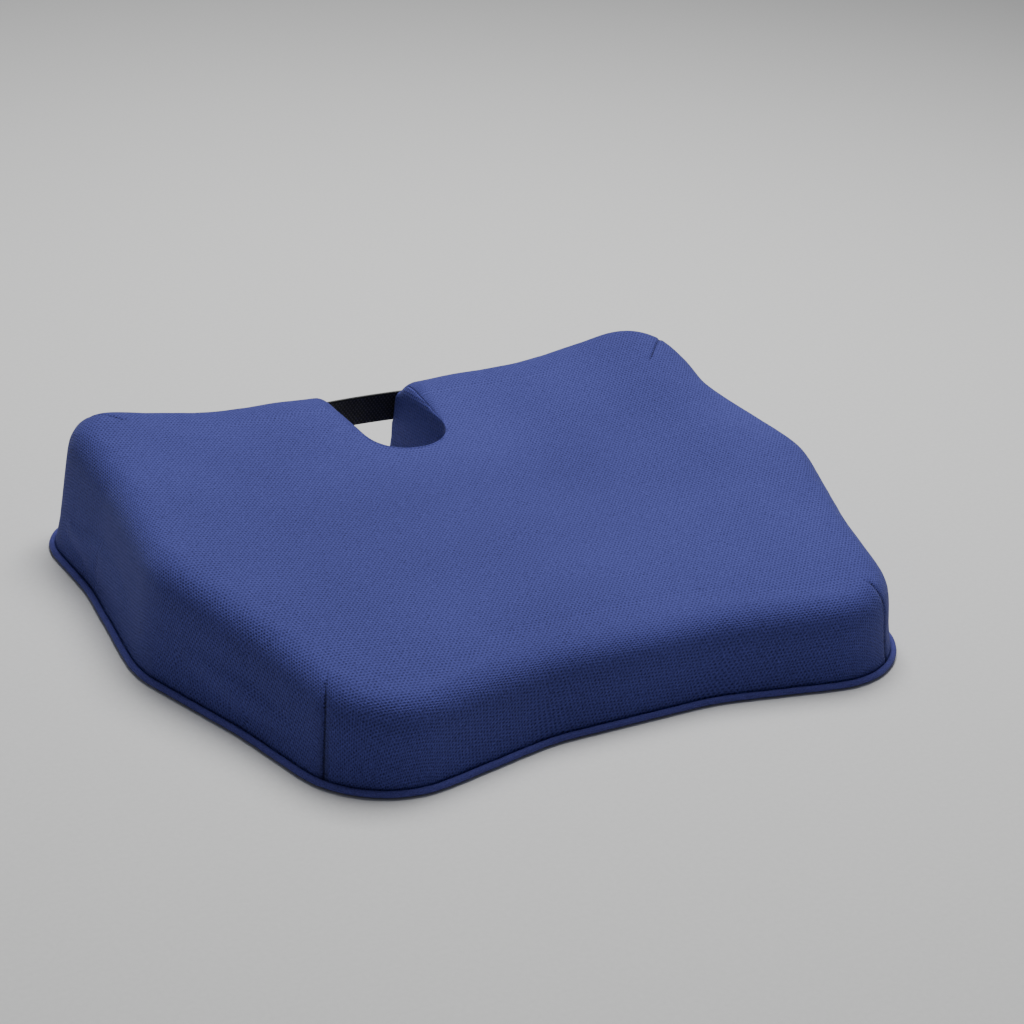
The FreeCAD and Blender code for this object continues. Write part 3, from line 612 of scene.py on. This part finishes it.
foam = piece_of("foam", part_shape("gel_film"), memory_foam)
foam.data = skin.data.copy()
foam.data.materials.clear()
foam.data.materials.append(memory_foam)
coarser = foam.modifiers.new("coarser", "REMESH")
coarser.mode = "VOXEL"
coarser.voxel_size = FOAM_CELL
settle(foam)
place, outward = points_of(foam.data)
outward[:, 2] = np.maximum(outward[:, 2], 0)
move_points(foam.data, place - outward * 1.5 * COVER)
cut_out(foam, block_between((-1, -1, -1), (1, 1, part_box("foam_core")[0].z)))

gel_room = part_shape("gel_pad")
gel_room.normal_update()
for vert in gel_room.verts:
    vert.co.z += 30 * MM if vert.normal.z > 0.2 else -0.4 * MM
    vert.co.x *= 1.004
    vert.co.y += 0.004 * (vert.co.y + 28 * MM)
tape_low, tape_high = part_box("zip_tape_front")
slider_low, slider_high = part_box("zip_slider")
ZIP_LINE = (slider_low.y + slider_high.y) / 2
cut_out(foam, notch_shape(1.6 * MM))
cut_out(foam, gel_room)
cut_out(foam, block_between((tape_low.x - 2 * MM, tape_low.y - 0.5 * MM, -5 * MM),
                            (tape_high.x + 2 * MM, 2 * ZIP_LINE - tape_low.y + 0.5 * MM,
                             slider_high.z + 0.4 * MM)))
place, outward = points_of(foam.data)
outward[:, 2] = 0
near_base = np.clip((8 * MM - place[:, 2]) / (6 * MM), 0, 1)
move_points(foam.data, place - outward * near_base[:, None] * 3 * MM)
attach(foam, "cushion", "memory_foam", "foam_core")

# %% [markdown]
# ## Cut the notch and open the base
# The walls of the notch are a separate strip, the notch band. A rounded block the size of the
# notch is cut out of the skin, and where it bites it leaves the new wall, with a crisp rim at
# the closed end. Before that the block is sliced into small squares, so that the band
# can be shaped. A plane then cuts the skin away below the middle of the piping, and the
# foot of the walls is flared out to meet it, as the seam pulls the knit there.

# %% Cut the notch and open the base
SKIN_CUT = 2.6 * MM

cutter = notch_shape(0)
for height in range(4, 80, 3):
    slice_shape(cutter, (0, 0, height * MM), (0, 0, 1))
for along in range(116, 184, 3):
    slice_shape(cutter, (0, along * MM, 0), (0, 1, 0))
cut_out(skin, cutter)

cover = bmesh.new()
cover.from_mesh(skin.data)
bpy.data.objects.remove(skin)
slice_shape(cover, (0, 0, SKIN_CUT), (0, 0, 1), clear_inner=True)
piping_low, piping_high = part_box("piping_fabric")
PIPING_RADIUS = 1.9 * MM
cover.normal_update()
PIPING_EDGE = piping_high.x - 0.7 * MM
flare = PIPING_EDGE - 2 * PIPING_RADIUS + 0.5 * MM - max(
    vert.co.x for vert in cover.verts if vert.is_boundary)
for vert in cover.verts:
    near_foot = min(max(1 - (vert.co.z - SKIN_CUT) / (18 * MM), 0), 1)
    lean = Vector((vert.normal.x, vert.normal.y, 0)).normalized()
    vert.co += lean * flare * near_foot ** 1.7
print("cover has", len(cover.faces), "faces and its foot flares", round(flare / MM, 1), "mm")

# %% [markdown]
# Near its mouth the notch's rim is not crisp: the knit rolls over it in a soft curve, and the
# curve grows towards the back wall. A bevel would need the mesh's own edges in even rows,
# so the roll is a move of points instead. Across the notch, the corner that is to be rounded
# is a square with a quarter circle in it, and each point of the square is drawn in
# towards the circle's centre until squares round the centre have become circles. Then the
# faces that the block left behind become the band, and all others the top panel.

# %% Roll the rim and share out the faces
ROLL = 9 * MM
ROLL_START, ROLL_FULL = 102 * MM, 158 * MM

rim = sorted((vert.co.y, vert.co.z) for edge in cover.edges for vert in edge.verts
             if len({face.material_index for face in edge.link_faces}) == 2
             and vert.co.z > 46 * MM and vert.co.y < 168 * MM)
rim_y, rim_z = np.array(rim).T


def roll_rim(verts):
    """Rounds the notch's rim near the mouth, on the cover or on what lies under it."""
    for vert in verts:
        share = min(max((vert.co.y - ROLL_START) / (ROLL_FULL - ROLL_START), 0), 1)
        radius = ROLL * share * share * (3 - 2 * share)
        centre_x = NOTCH_HALF + radius
        centre_z = float(np.interp(vert.co.y, rim_y, rim_z)) - radius
        inward, up = centre_x - abs(vert.co.x), vert.co.z - centre_z
        if radius > 0 and 0 < inward <= radius + 0.5 * MM and up > 0:
            draw_in = max(inward, up) / math.hypot(inward, up)
            vert.co.x = math.copysign(centre_x - inward * draw_in, vert.co.x)
            vert.co.z = centre_z + up * draw_in


roll_rim(cover.verts)
roll_rim(foam.data.vertices)
print("the rim rolls over", round(ROLL / MM), "mm at the mouth")
band = cover.copy()
bmesh.ops.delete(band, geom=[face for face in band.faces if face.material_index == 0],
                 context="FACES")
top = cover.copy()
bmesh.ops.delete(top, geom=[face for face in top.faces if face.material_index == 1],
                 context="FACES")
print("top panel has", len(top.faces), "faces and the band", len(band.faces))

# %% [markdown]
# ## Darts
# A flat piece of knit is made to follow a corner by a dart: a wedge is pinched out and sewn,
# which leaves one thin seam from the piping up over the rim, and ends in a small pucker. Each
# dart lies in an upright plane, given by its tip on the seat and the way it runs. The mesh
# is made finer along it, then drawn in as a narrow groove, and `seam` remembers where
# the thread is.

# %% Darts
DARTS = [
    # tip across and along, and the way the seam runs from there
    ((-170.0 * MM, -134.5 * MM), (-0.43, -0.90)),
    ((150.0 * MM, -152.0 * MM), (0.62, -0.78)),
    ((-165.0 * MM, 136.5 * MM), (-0.76, 0.65)),
    ((175.0 * MM, 109.0 * MM), (0.68, 0.74)),
]
DART_LENGTH = 60 * MM
GROOVE_DEPTH = 0.7 * MM
GROOVE_WIDTH = 1.1 * MM
PUCKER = 0.8 * MM


def dart_reach(point, dart):
    """How far a point is beside a dart's seam, and how far past its tip."""
    (across, along), (run_x, run_y) = dart
    from_tip_x, from_tip_y = point.x - across, point.y - along
    return from_tip_x * run_y - from_tip_y * run_x, from_tip_x * run_x + from_tip_y * run_y


for dart in DARTS:
    near = []
    for edge in top.edges:
        reaches = [dart_reach(vert.co, dart) for vert in edge.verts]
        if all(abs(beside) < 5 * MM and -4 * MM < past < DART_LENGTH
               for beside, past in reaches):
            near.append(edge)
    bmesh.ops.subdivide_edges(top, edges=near, cuts=2, use_grid_fill=True)
top.normal_update()
for dart in DARTS:
    for vert in top.verts:
        beside, past = dart_reach(vert.co, dart)
        if past < -6 * MM or past > DART_LENGTH or abs(beside) > 25 * MM:
            continue
        ramp = min(max(past / (10 * MM), 0), 1)
        groove = GROOVE_DEPTH * ramp * math.exp(-(beside / GROOVE_WIDTH) ** 2)
        ripple = math.sin(abs(beside) / (3.4 * MM)) * math.exp(-abs(beside) / (6 * MM))
        tip = math.exp(-((past - 3 * MM) / (9 * MM)) ** 2)
        vert.co -= vert.normal * (groove - PUCKER * ripple * tip)
print("sewed", len(DARTS), "darts")

# %% [markdown]
# ## Lay the cloth's own grid on the cover
# The knit's rows start on the seat, along X and Y, and go on down the walls. On a wall the
# distance below the rim takes over from the position, in the direction the wall faces. So
# each point's `cloth` coordinate is its place plus its outward lean times its drop below the
# rim. The band is a flat strip, so its coordinates are the way round the notch and the height.

# %% Cloth coordinates
RIM_ALONG = [value * MM for value in (-180, -100, 0, 100, 180)]
RIM_HEIGHT = [value * MM for value in (48, 58, 67, 77, 82)]


def lay_cloth(mesh, coordinates):
    """Stores one cloth coordinate per vertex in the UV map."""
    corner_vertex = np.zeros(len(mesh.loops), int)
    mesh.loops.foreach_get("vertex_index", corner_vertex)
    layer = mesh.uv_layers.new(name="cloth")
    layer.data.foreach_set("uv", np.asarray(coordinates)[corner_vertex].ravel())


def keep_seam(mesh, values):
    layer = mesh.attributes.new("seam", "FLOAT", "POINT")
    layer.data.foreach_set("value", values)


top_panel = piece_of("top_panel", top, cover_knit)
place, outward = points_of(top_panel.data)
drop = np.interp(place[:, 1], RIM_ALONG, RIM_HEIGHT) - place[:, 2]
lean = np.linalg.norm(outward[:, :2], axis=1)
facing = outward[:, :2] * (np.minimum(1.25 * lean, 1) / np.maximum(lean, 1e-6))[:, None]
lay_cloth(top_panel.data, place[:, :2] + facing * drop[:, None])
seam = np.zeros(len(place))
for dart in DARTS:
    for index, point in enumerate(place):
        beside, past = dart_reach(Vector(point), dart)
        if 0 < past < DART_LENGTH and abs(beside) < 3 * MM:
            dark = math.exp(-(beside / (0.5 * MM)) ** 2) * min(past / (6 * MM), 1)
            seam[index] = max(seam[index], dark)
keep_seam(top_panel.data, seam)
thicken(top_panel, COVER, -1)
attach(top_panel, "cushion", "cover_knit", "cover_top_panel")

# %% Notch band
END_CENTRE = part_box("cover_notch_band")[0].y + 25.2 * MM
for vert in band.verts:
    vert.normal_update()
for vert in band.verts:
    ease = math.sin(min(max((vert.co.z - SKIN_CUT) / (45 * MM), 0), 1) * math.pi)
    if not vert.is_boundary:
        vert.co += vert.normal * 0.7 * MM * ease
notch_band = piece_of("notch_band", band, cover_knit)
place, _ = points_of(notch_band.data)
bend = np.arctan2(place[:, 0], np.maximum(END_CENTRE - place[:, 1], 0.01 * MM)) * 25 * MM
straight = np.sign(place[:, 0]) * (np.maximum(place[:, 1] - END_CENTRE, 0))
lay_cloth(notch_band.data, np.stack([bend + straight, place[:, 2]], axis=1))
keep_seam(notch_band.data, np.zeros(len(place)))
thicken(notch_band, COVER, -1)
attach(notch_band, "cushion", "cover_knit", "cover_notch_band")

# %% [markdown]
# ## Piping
# The seam between the walls and the underside is closed by piping: a strip of the knit, cut
# on the bias and folded over a cord. It follows the open edge of the cover, so that edge is
# walked from corner to corner and used as the centre line of a thick curve, a little
# further out. Each stitch nips the strip, so the curve's radius varies from point to point.


# %% Piping
def open_edge(shape):
    """Points of a shape's open edge, in order."""
    edges = [edge for edge in shape.edges if edge.is_boundary]
    vert = edges[0].verts[0]
    path, last = [], None
    while not path or vert is not first:
        first = path[0] if path else vert
        path.append(vert)
        edge = next(e for e in vert.link_edges if e.is_boundary and e is not last)
        vert, last = edge.other_vert(vert), edge
    return np.array([vert.co for vert in path])


def thick_curve(name, paths, radius, material, sides=2, closed=False, spread=None):
    """Round bar along smooth paths, made into a mesh; spread gives each point's share of radius."""
    line = bpy.data.curves.new(name, "CURVE")
    line.dimensions = "3D"
    line.bevel_depth = radius
    line.bevel_resolution = sides
    line.resolution_u = 2
    line.use_fill_caps = True
    for path in paths:
        spline = line.splines.new("NURBS")
        spline.points.add(len(path) - 1)
        for place, (point, knot) in enumerate(zip(path, spline.points)):
            knot.co = (*point, 1)
            knot.radius = spread[place] if spread is not None else 1
        spline.order_u = 3
        spline.use_cyclic_u = closed
        spline.use_endpoint_u = not closed
    holder = bpy.data.objects.new(name, line)
    scene.collection.objects.link(holder)
    graph = bpy.context.evaluated_depsgraph_get()
    mesh = bpy.data.meshes.new_from_object(holder.evaluated_get(graph))
    bpy.data.objects.remove(holder)
    shape = bmesh.new()
    shape.from_mesh(mesh)
    bmesh.ops.remove_doubles(shape, verts=shape.verts, dist=0.001 * MM)
    bmesh.ops.recalc_face_normals(shape, faces=shape.faces)
    return piece_of(name, shape, material)


edge_path = open_edge(cover)
cover.free()
step = np.linalg.norm(np.roll(edge_path, -1, 0) - edge_path, axis=1)
travelled = np.concatenate([[0], np.cumsum(step)])
stations = np.linspace(0, travelled[-1], int(travelled[-1] / (2.2 * MM)), endpoint=False)
ring = np.stack([np.interp(stations, travelled, np.append(edge_path[:, axis], edge_path[0, axis]))
                 for axis in range(3)], axis=1)
for _ in range(4):
    ring = (np.roll(ring, 1, 0) + 2 * ring + np.roll(ring, -1, 0)) / 4
ahead = np.roll(ring, -2, 0) - np.roll(ring, 2, 0)
ahead /= np.linalg.norm(ahead, axis=1)[:, None]
aside = np.stack([ahead[:, 1], -ahead[:, 0], np.zeros(len(ring))], axis=1)
area = np.sum(ring[:, 0] * np.roll(ring[:, 1], -1) - np.roll(ring[:, 0], -1) * ring[:, 1])
aside *= np.sign(area)
PIPING_OUT = PIPING_EDGE - PIPING_RADIUS - ring[:, 0].max()
ring += aside * PIPING_OUT
ring[:, 2] = (piping_low.z + piping_high.z) / 2
number = np.arange(len(ring))
nips = 1 - 0.05 * np.abs(np.sin(number * 0.5)) + 0.012 * np.sin(number * 0.17)
piping = thick_curve("piping", [ring], PIPING_RADIUS, piping_knit, 3, True, nips)
attach(piping, "cushion", "piping_knit", "piping_fabric")
filler = thick_curve("filler_cord", [ring], 1.2 * MM, filler_twist, 1, True)
attach(filler, "cushion", "filler_cord", "piping_cord")
print("piping is", round(travelled[-1], 2), "m round and", round(PIPING_OUT / MM, 1), "mm out")

# %% [markdown]
# ## The underside
# Two panels of coarse cloth meet at the zip. Their lower faces are lifted by the height of
# the grip dots, which stand under them and touch the seat. The panels are sliced into
# squares so that the cloth can lie in faint waves, stronger where the zip gathers it.

# %% Underside panels
DOT_HEIGHT = 0.5 * MM
panels = []
for name in ("cover_bottom_front", "cover_bottom_rear"):
    panel = part_shape(name)
    for cut in range(-212, 220, 8):
        slice_shape(panel, (cut * MM, 0, 0), (1, 0, 0))
    for cut in range(-168, 176, 8):
        slice_shape(panel, (0, cut * MM, 0), (0, 1, 0))
    for vert in panel.verts:
        if vert.co.z < 0.7 * MM:
            wave = math.sin(vert.co.x * 140) * math.sin(vert.co.y * 190 + vert.co.x * 60)
            gather = math.exp(-((vert.co.y - ZIP_LINE) / (22 * MM)) ** 2)
            pucker = gather * (1 + math.sin(vert.co.x * 900))
            vert.co.z = DOT_HEIGHT + (0.10 * (1 + wave) + 0.12 * pucker) * MM
    made = piece_of(name.replace("cover_", ""), panel, base_cloth, False)
    attach(made, "cushion", "underside_fabric", name)
    panels.append(made)

# %% [markdown]
# The dots are low rubber cones in staggered rows, printed on the cloth. A ray is cast up
# from below each place: a dot goes on only where the cloth is flat all round it, so none
# sits on the zip, the seam or the notch.

# %% Grip dots
DOT_PITCH = 12 * MM
DOT_RADIUS = 2.1 * MM
under = bmesh.new()
for made in panels:
    under.from_mesh(made.data)
under_tree = BVHTree.FromBMesh(under)
under.free()


def is_flat_round(x, y):
    for turn in range(8):
        angle = turn * math.pi / 4
        start = Vector((x + 5 * MM * math.cos(angle), y + 5 * MM * math.sin(angle), -1 * MM))
        hit = under_tree.ray_cast(start, Vector((0, 0, 1)))[0]
        if hit is None or hit.z > 1.2 * MM:
            return False
    return True


dots = bmesh.new()
for row in range(-17, 18):
    for column in range(-19, 20):
        x = (column + 0.5 * (row % 2)) * DOT_PITCH
        y = row * DOT_PITCH * 0.866
        if is_flat_round(x, y):
            bmesh.ops.create_cone(dots, cap_ends=True, segments=10, radius1=DOT_RADIUS,
                                  radius2=DOT_RADIUS * 0.55, depth=DOT_HEIGHT + 0.2 * MM,
                                  matrix=Matrix.Translation((x, y, (DOT_HEIGHT + 0.2 * MM) / 2))
                                  @ Matrix.Rotation(math.pi, 4, "X"))
grip_dots = piece_of("grip_dots", dots, grip_rubber, False)
attach(grip_dots, "cushion", "underside_fabric")
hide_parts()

# %% [markdown]
# ## Stitches
# A machine stitch is a short thread that dips at both ends, so a flattened ball is a fair
# stitch and costs only twenty faces. Two rows hold the hems along the zip.


# %% Hem stitches
def stitch_row(shape, start, end, length, pitch, thickness):
    """Row of stitches between two points."""
    start, end = Vector(start), Vector(end)
    way = (end - start).normalized()
    turn = way.to_track_quat("X", "Z").to_matrix().to_4x4()
    for number in range(int((end - start).length / pitch)):
        place = start + way * pitch * (number + 0.5)
        bmesh.ops.create_icosphere(shape, subdivisions=1, radius=1,
                                   matrix=Matrix.Translation(place) @ turn
                                   @ Matrix.Diagonal((length / 2, thickness, thickness * 0.8, 1)))


stitches = bmesh.new()
for side in (-1, 1):
    y = ZIP_LINE + side * 11.6 * MM
    stitch_row(stitches, (-182 * MM, y, 0.62 * MM), (182 * MM, y, 0.62 * MM), 3.0 * MM, 3.8 * MM,
               0.28 * MM)
    x = side * 183.4 * MM
    stitch_row(stitches, (x, ZIP_LINE - 11 * MM, 0.62 * MM), (x, ZIP_LINE + 11 * MM, 0.62 * MM),
               3.0 * MM, 3.8 * MM, 0.28 * MM)
hem_stitches = piece_of("hem_stitches", stitches, thread)
attach(hem_stitches, "cushion", "thread")

# %% [markdown]
# ## The zip
# The small solid parts have the right outline in the frame, but knife-sharp edges. A copy
# of each is cleared of the triangles' inner edges and gets its edges rounded, as casting
# or folding leaves them.


# %% Rounded zip parts
def rounded(name, node, width, material, body, slot):
    """Copy of a part of the frame with rounded edges."""
    shape = part_shape(node)
    bmesh.ops.dissolve_limit(shape, angle_limit=math.radians(3), verts=shape.verts,
                             edges=shape.edges)
    sharp = [edge for edge in shape.edges
             if edge.is_manifold and edge.calc_face_angle(0) > math.radians(35)]
    bmesh.ops.bevel(shape, geom=sharp, affect="EDGES", offset=width, segments=2, profile=0.5,
                    material=-1, clamp_overlap=True)
    bmesh.ops.triangulate(shape, faces=[face for face in shape.faces if len(face.verts) > 4])
    made = piece_of(name, shape, material, False)
    attach(made, body, slot, node)
    return made


for node, width, material, body, slot in (
    ("zip_tape_front", 0.15 * MM, tape_cloth, "cushion", "zip_tape"),
    ("zip_tape_rear", 0.15 * MM, tape_cloth, "cushion", "zip_tape"),
    ("zip_end_tab_left", 0.3 * MM, tab_cloth, "cushion", "underside_fabric"),
    ("zip_end_tab_right", 0.3 * MM, tab_cloth, "cushion", "underside_fabric"),
    ("zip_bottom_stop", 0.15 * MM, nickel, "cushion", "zip_metal"),
    ("zip_top_stops", 0.15 * MM, nickel, "cushion", "zip_metal"),
    ("zip_slider", 0.18 * MM, nickel, "slider", "zip_metal"),
    ("zip_pull", 0.25 * MM, nickel, "pull", "zip_metal"),
):
    rounded(node.replace("zip_", ""), node, width, material, body, slot)

# %% [markdown]
# A coil zip's teeth are one nylon wire on each side, wound in flat loops and sewn to the
# tape. The wire is a smooth curve whose control points go once round each loop, and it
# stays inside the frame's bar, clear of the slider's post.

# %% Zip coils
COIL_PITCH = 1.9 * MM
WIRE = 0.34 * MM
for name, side in (("zip_coil_front", -1), ("zip_coil_rear", 1)):
    low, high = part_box(name)
    middle = (low + high) / 2
    half_width = (high.y - low.y) / 2 - WIRE
    half_height = (high.z - low.z) / 2 - WIRE
    turns = int((high.x - low.x - 2 * WIRE) / COIL_PITCH)
    wound = []
    for quarter in range(turns * 6):
        angle = quarter * math.pi / 3
        wound.append((low.x + WIRE + quarter * COIL_PITCH / 6 + (0.5 * (side + 1)) * 0.4 * MM,
                      middle.y + 1.12 * half_width * math.cos(angle),
                      middle.z + 1.12 * half_height * math.sin(angle)))
    coil = thick_curve(name.replace("zip_", ""), [wound], WIRE, coil_nylon, 0)
    attach(coil, "cushion", "zip_coil", name)

# %% [markdown]
# ## The carry handle
# A strap of black webbing bridges the notch's mouth, and its ends are sewn to the back
# wall. Webbing is woven from thick yarns, which show as staggered bumps, so each face of
# the strap is a fine grid with a bump at every crossing. The free span is made in two
# halves, each of which bows out a little from the wall in its middle.
#
# The top of each bump would catch the light, and that highlight is painted into the colour:
# the height of the weave is kept in a vertex attribute, so that the finish can be paler there.


# %% Webbing finish
def webbing_finish():
    made, tree, shader = finish("black_webbing", 0.45, Specular_IOR_Level=0.5)
    solid = add(tree, "ShaderNodeTexCoord").outputs["Object"]
    yarn_highlight = add(tree, "ShaderNodeAttribute", attribute_name="yarn_highlight").outputs["Fac"]
    fibre = speckle(tree, solid, 2600)
    # Painted highlight: the colour is paler on the crest of each yarn bump, where light would catch
    # it.
    tone = calculate(tree, "MULTIPLY", calculate(tree, "POWER", yarn_highlight, 2.0),
                     calculate(tree, "ADD", fibre, 0.3))
    colour = two_tone(tree, tone, (0.004, 0.004, 0.005), (0.10, 0.097, 0.103))
    colour_and_bump(tree, shader, colour, fibre, 0.05 * MM)
    return made


black_webbing = webbing_finish()

# %% Webbing
strap_low, strap_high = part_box("handle_webbing")
WALL_LEAN = math.radians(6.5)
STRAP_WIDTH = 20 * MM
STRAP_THICK = 1.8 * MM
STRAP_BOW = 1.6 * MM
STRAP_HALF = 38 * MM
YARN_ALONG = 2.5 * MM
YARN_ACROSS = 3.3 * MM
on_wall = (Matrix.Translation((0, strap_low.y + math.sin(WALL_LEAN) * STRAP_WIDTH / 2 + 0.02 * MM,
                               (strap_low.z + strap_high.z) / 2 - 1.6 * MM))
           @ Matrix.Rotation(WALL_LEAN, 4, "X"))


def weave(along, up):
    """Height of the weave between 0 and 1."""
    cross = math.cos(2 * math.pi * along / YARN_ALONG) * math.cos(2 * math.pi * up / YARN_ACROSS)
    edge = min(1, (STRAP_WIDTH / 2 - abs(up)) / (0.9 * MM))
    return math.sqrt(max(cross, 0)) * max(edge, 0)


def webbing(name, start, end, bow):
    """Woven strap from start to end across, standing off the wall by bow in its middle."""
    shape = bmesh.new()
    bmesh.ops.create_grid(shape, x_segments=int((end - start) / (0.42 * MM)), y_segments=48,
                          size=0.5)
    bmesh.ops.solidify(shape, geom=shape.faces[:], thickness=1)
    shape.normal_update()
    middle_z = sum(vert.co.z for vert in shape.verts) / len(shape.verts)
    yarn_highlight = shape.verts.layers.float.new("yarn_highlight")
    for vert in shape.verts:
        along = (start + end) / 2 + vert.co.x * (end - start)
        up = vert.co.y * STRAP_WIDTH
        # The weave's height, stored for the finish's painted highlight on the yarn crests.
        vert[yarn_highlight] = weave(along, up)
        side = 1 if vert.co.z > middle_z else -1
        rise = bow * (1 - (along / STRAP_HALF) ** 2)
        hem = max(0, abs(up) - STRAP_WIDTH / 2 + 0.8 * MM) / (0.8 * MM)
        half = STRAP_THICK / 2 - 0.25 * MM * hem ** 2 - 0.17 * MM
        out = STRAP_THICK / 2 + rise + side * (half + 0.17 * MM * weave(along, up))
        vert.co = on_wall @ Vector((along, out, up))
    bmesh.ops.recalc_face_normals(shape, faces=shape.faces)
    return piece_of(name, shape, black_webbing)


for name, start, end in (("webbing_left", -STRAP_HALF, 0), ("webbing_right", 0, STRAP_HALF)):
    half_strap = webbing(name, start, end, STRAP_BOW)
    sewn, free = (start, end) if abs(start) > abs(end) else (end, start)
    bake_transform(half_strap)
    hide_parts("handle_webbing")
for side in ("left", "right"):
    low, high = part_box("handle_end_" + side)
    attach(webbing("webbing_end_" + side, low.x, high.x, 0), "cushion", "webbing",
           "handle_end_" + side)

# %% [markdown]
# A bar tack is a dense zigzag that locks a strap's end. One curve does each: it runs up and
# down the strap, one thread's width further at every turn.

# %% Bar tacks
zigzags = []
for across in (-59, -41, 41, 59):
    zigzag = []
    for turn in range(34):
        up = (turn / 33 - 0.5) * 15 * MM
        swing = 0.7 * MM if turn % 2 else -0.7 * MM
        zigzag.append(on_wall @ Vector((across * MM + swing, STRAP_THICK + 0.14 * MM, up)))
    zigzags.append(zigzag)
bar_tacks = thick_curve("bar_tacks", zigzags, 0.22 * MM, thread, 1)
attach(bar_tacks, "cushion", "thread", "handle_bar_tacks")

# %% [markdown]
# ## Care label
# The care label is satin tape, caught in the piping's seam, and it lies on the back wall with
# its free end curling off. It is left blank.

# %% Care label
label_low, label_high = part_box("care_label")
label_shape = bmesh.new()
bmesh.ops.create_grid(label_shape, x_segments=18, y_segments=22, size=0.5)
for vert in label_shape.verts:
    share = vert.co.y + 0.5
    x = (label_low.x + label_high.x) / 2 + vert.co.x * (label_high.x - label_low.x)
    z = label_low.z + share * (label_high.z - label_low.z)
    lie = label_high.y - share * (label_high.y - label_low.y - 0.6 * MM)
    curl = 2.2 * MM * share ** 3 + 0.25 * MM * math.sin(vert.co.x * 7) * share
    vert.co = (x, lie + curl + 0.2 * MM, z)
care_label = piece_of("label", label_shape, label_satin)
thicken(care_label, 0.4 * MM, 0)
attach(care_label, "cushion", "label_tape", "care_label")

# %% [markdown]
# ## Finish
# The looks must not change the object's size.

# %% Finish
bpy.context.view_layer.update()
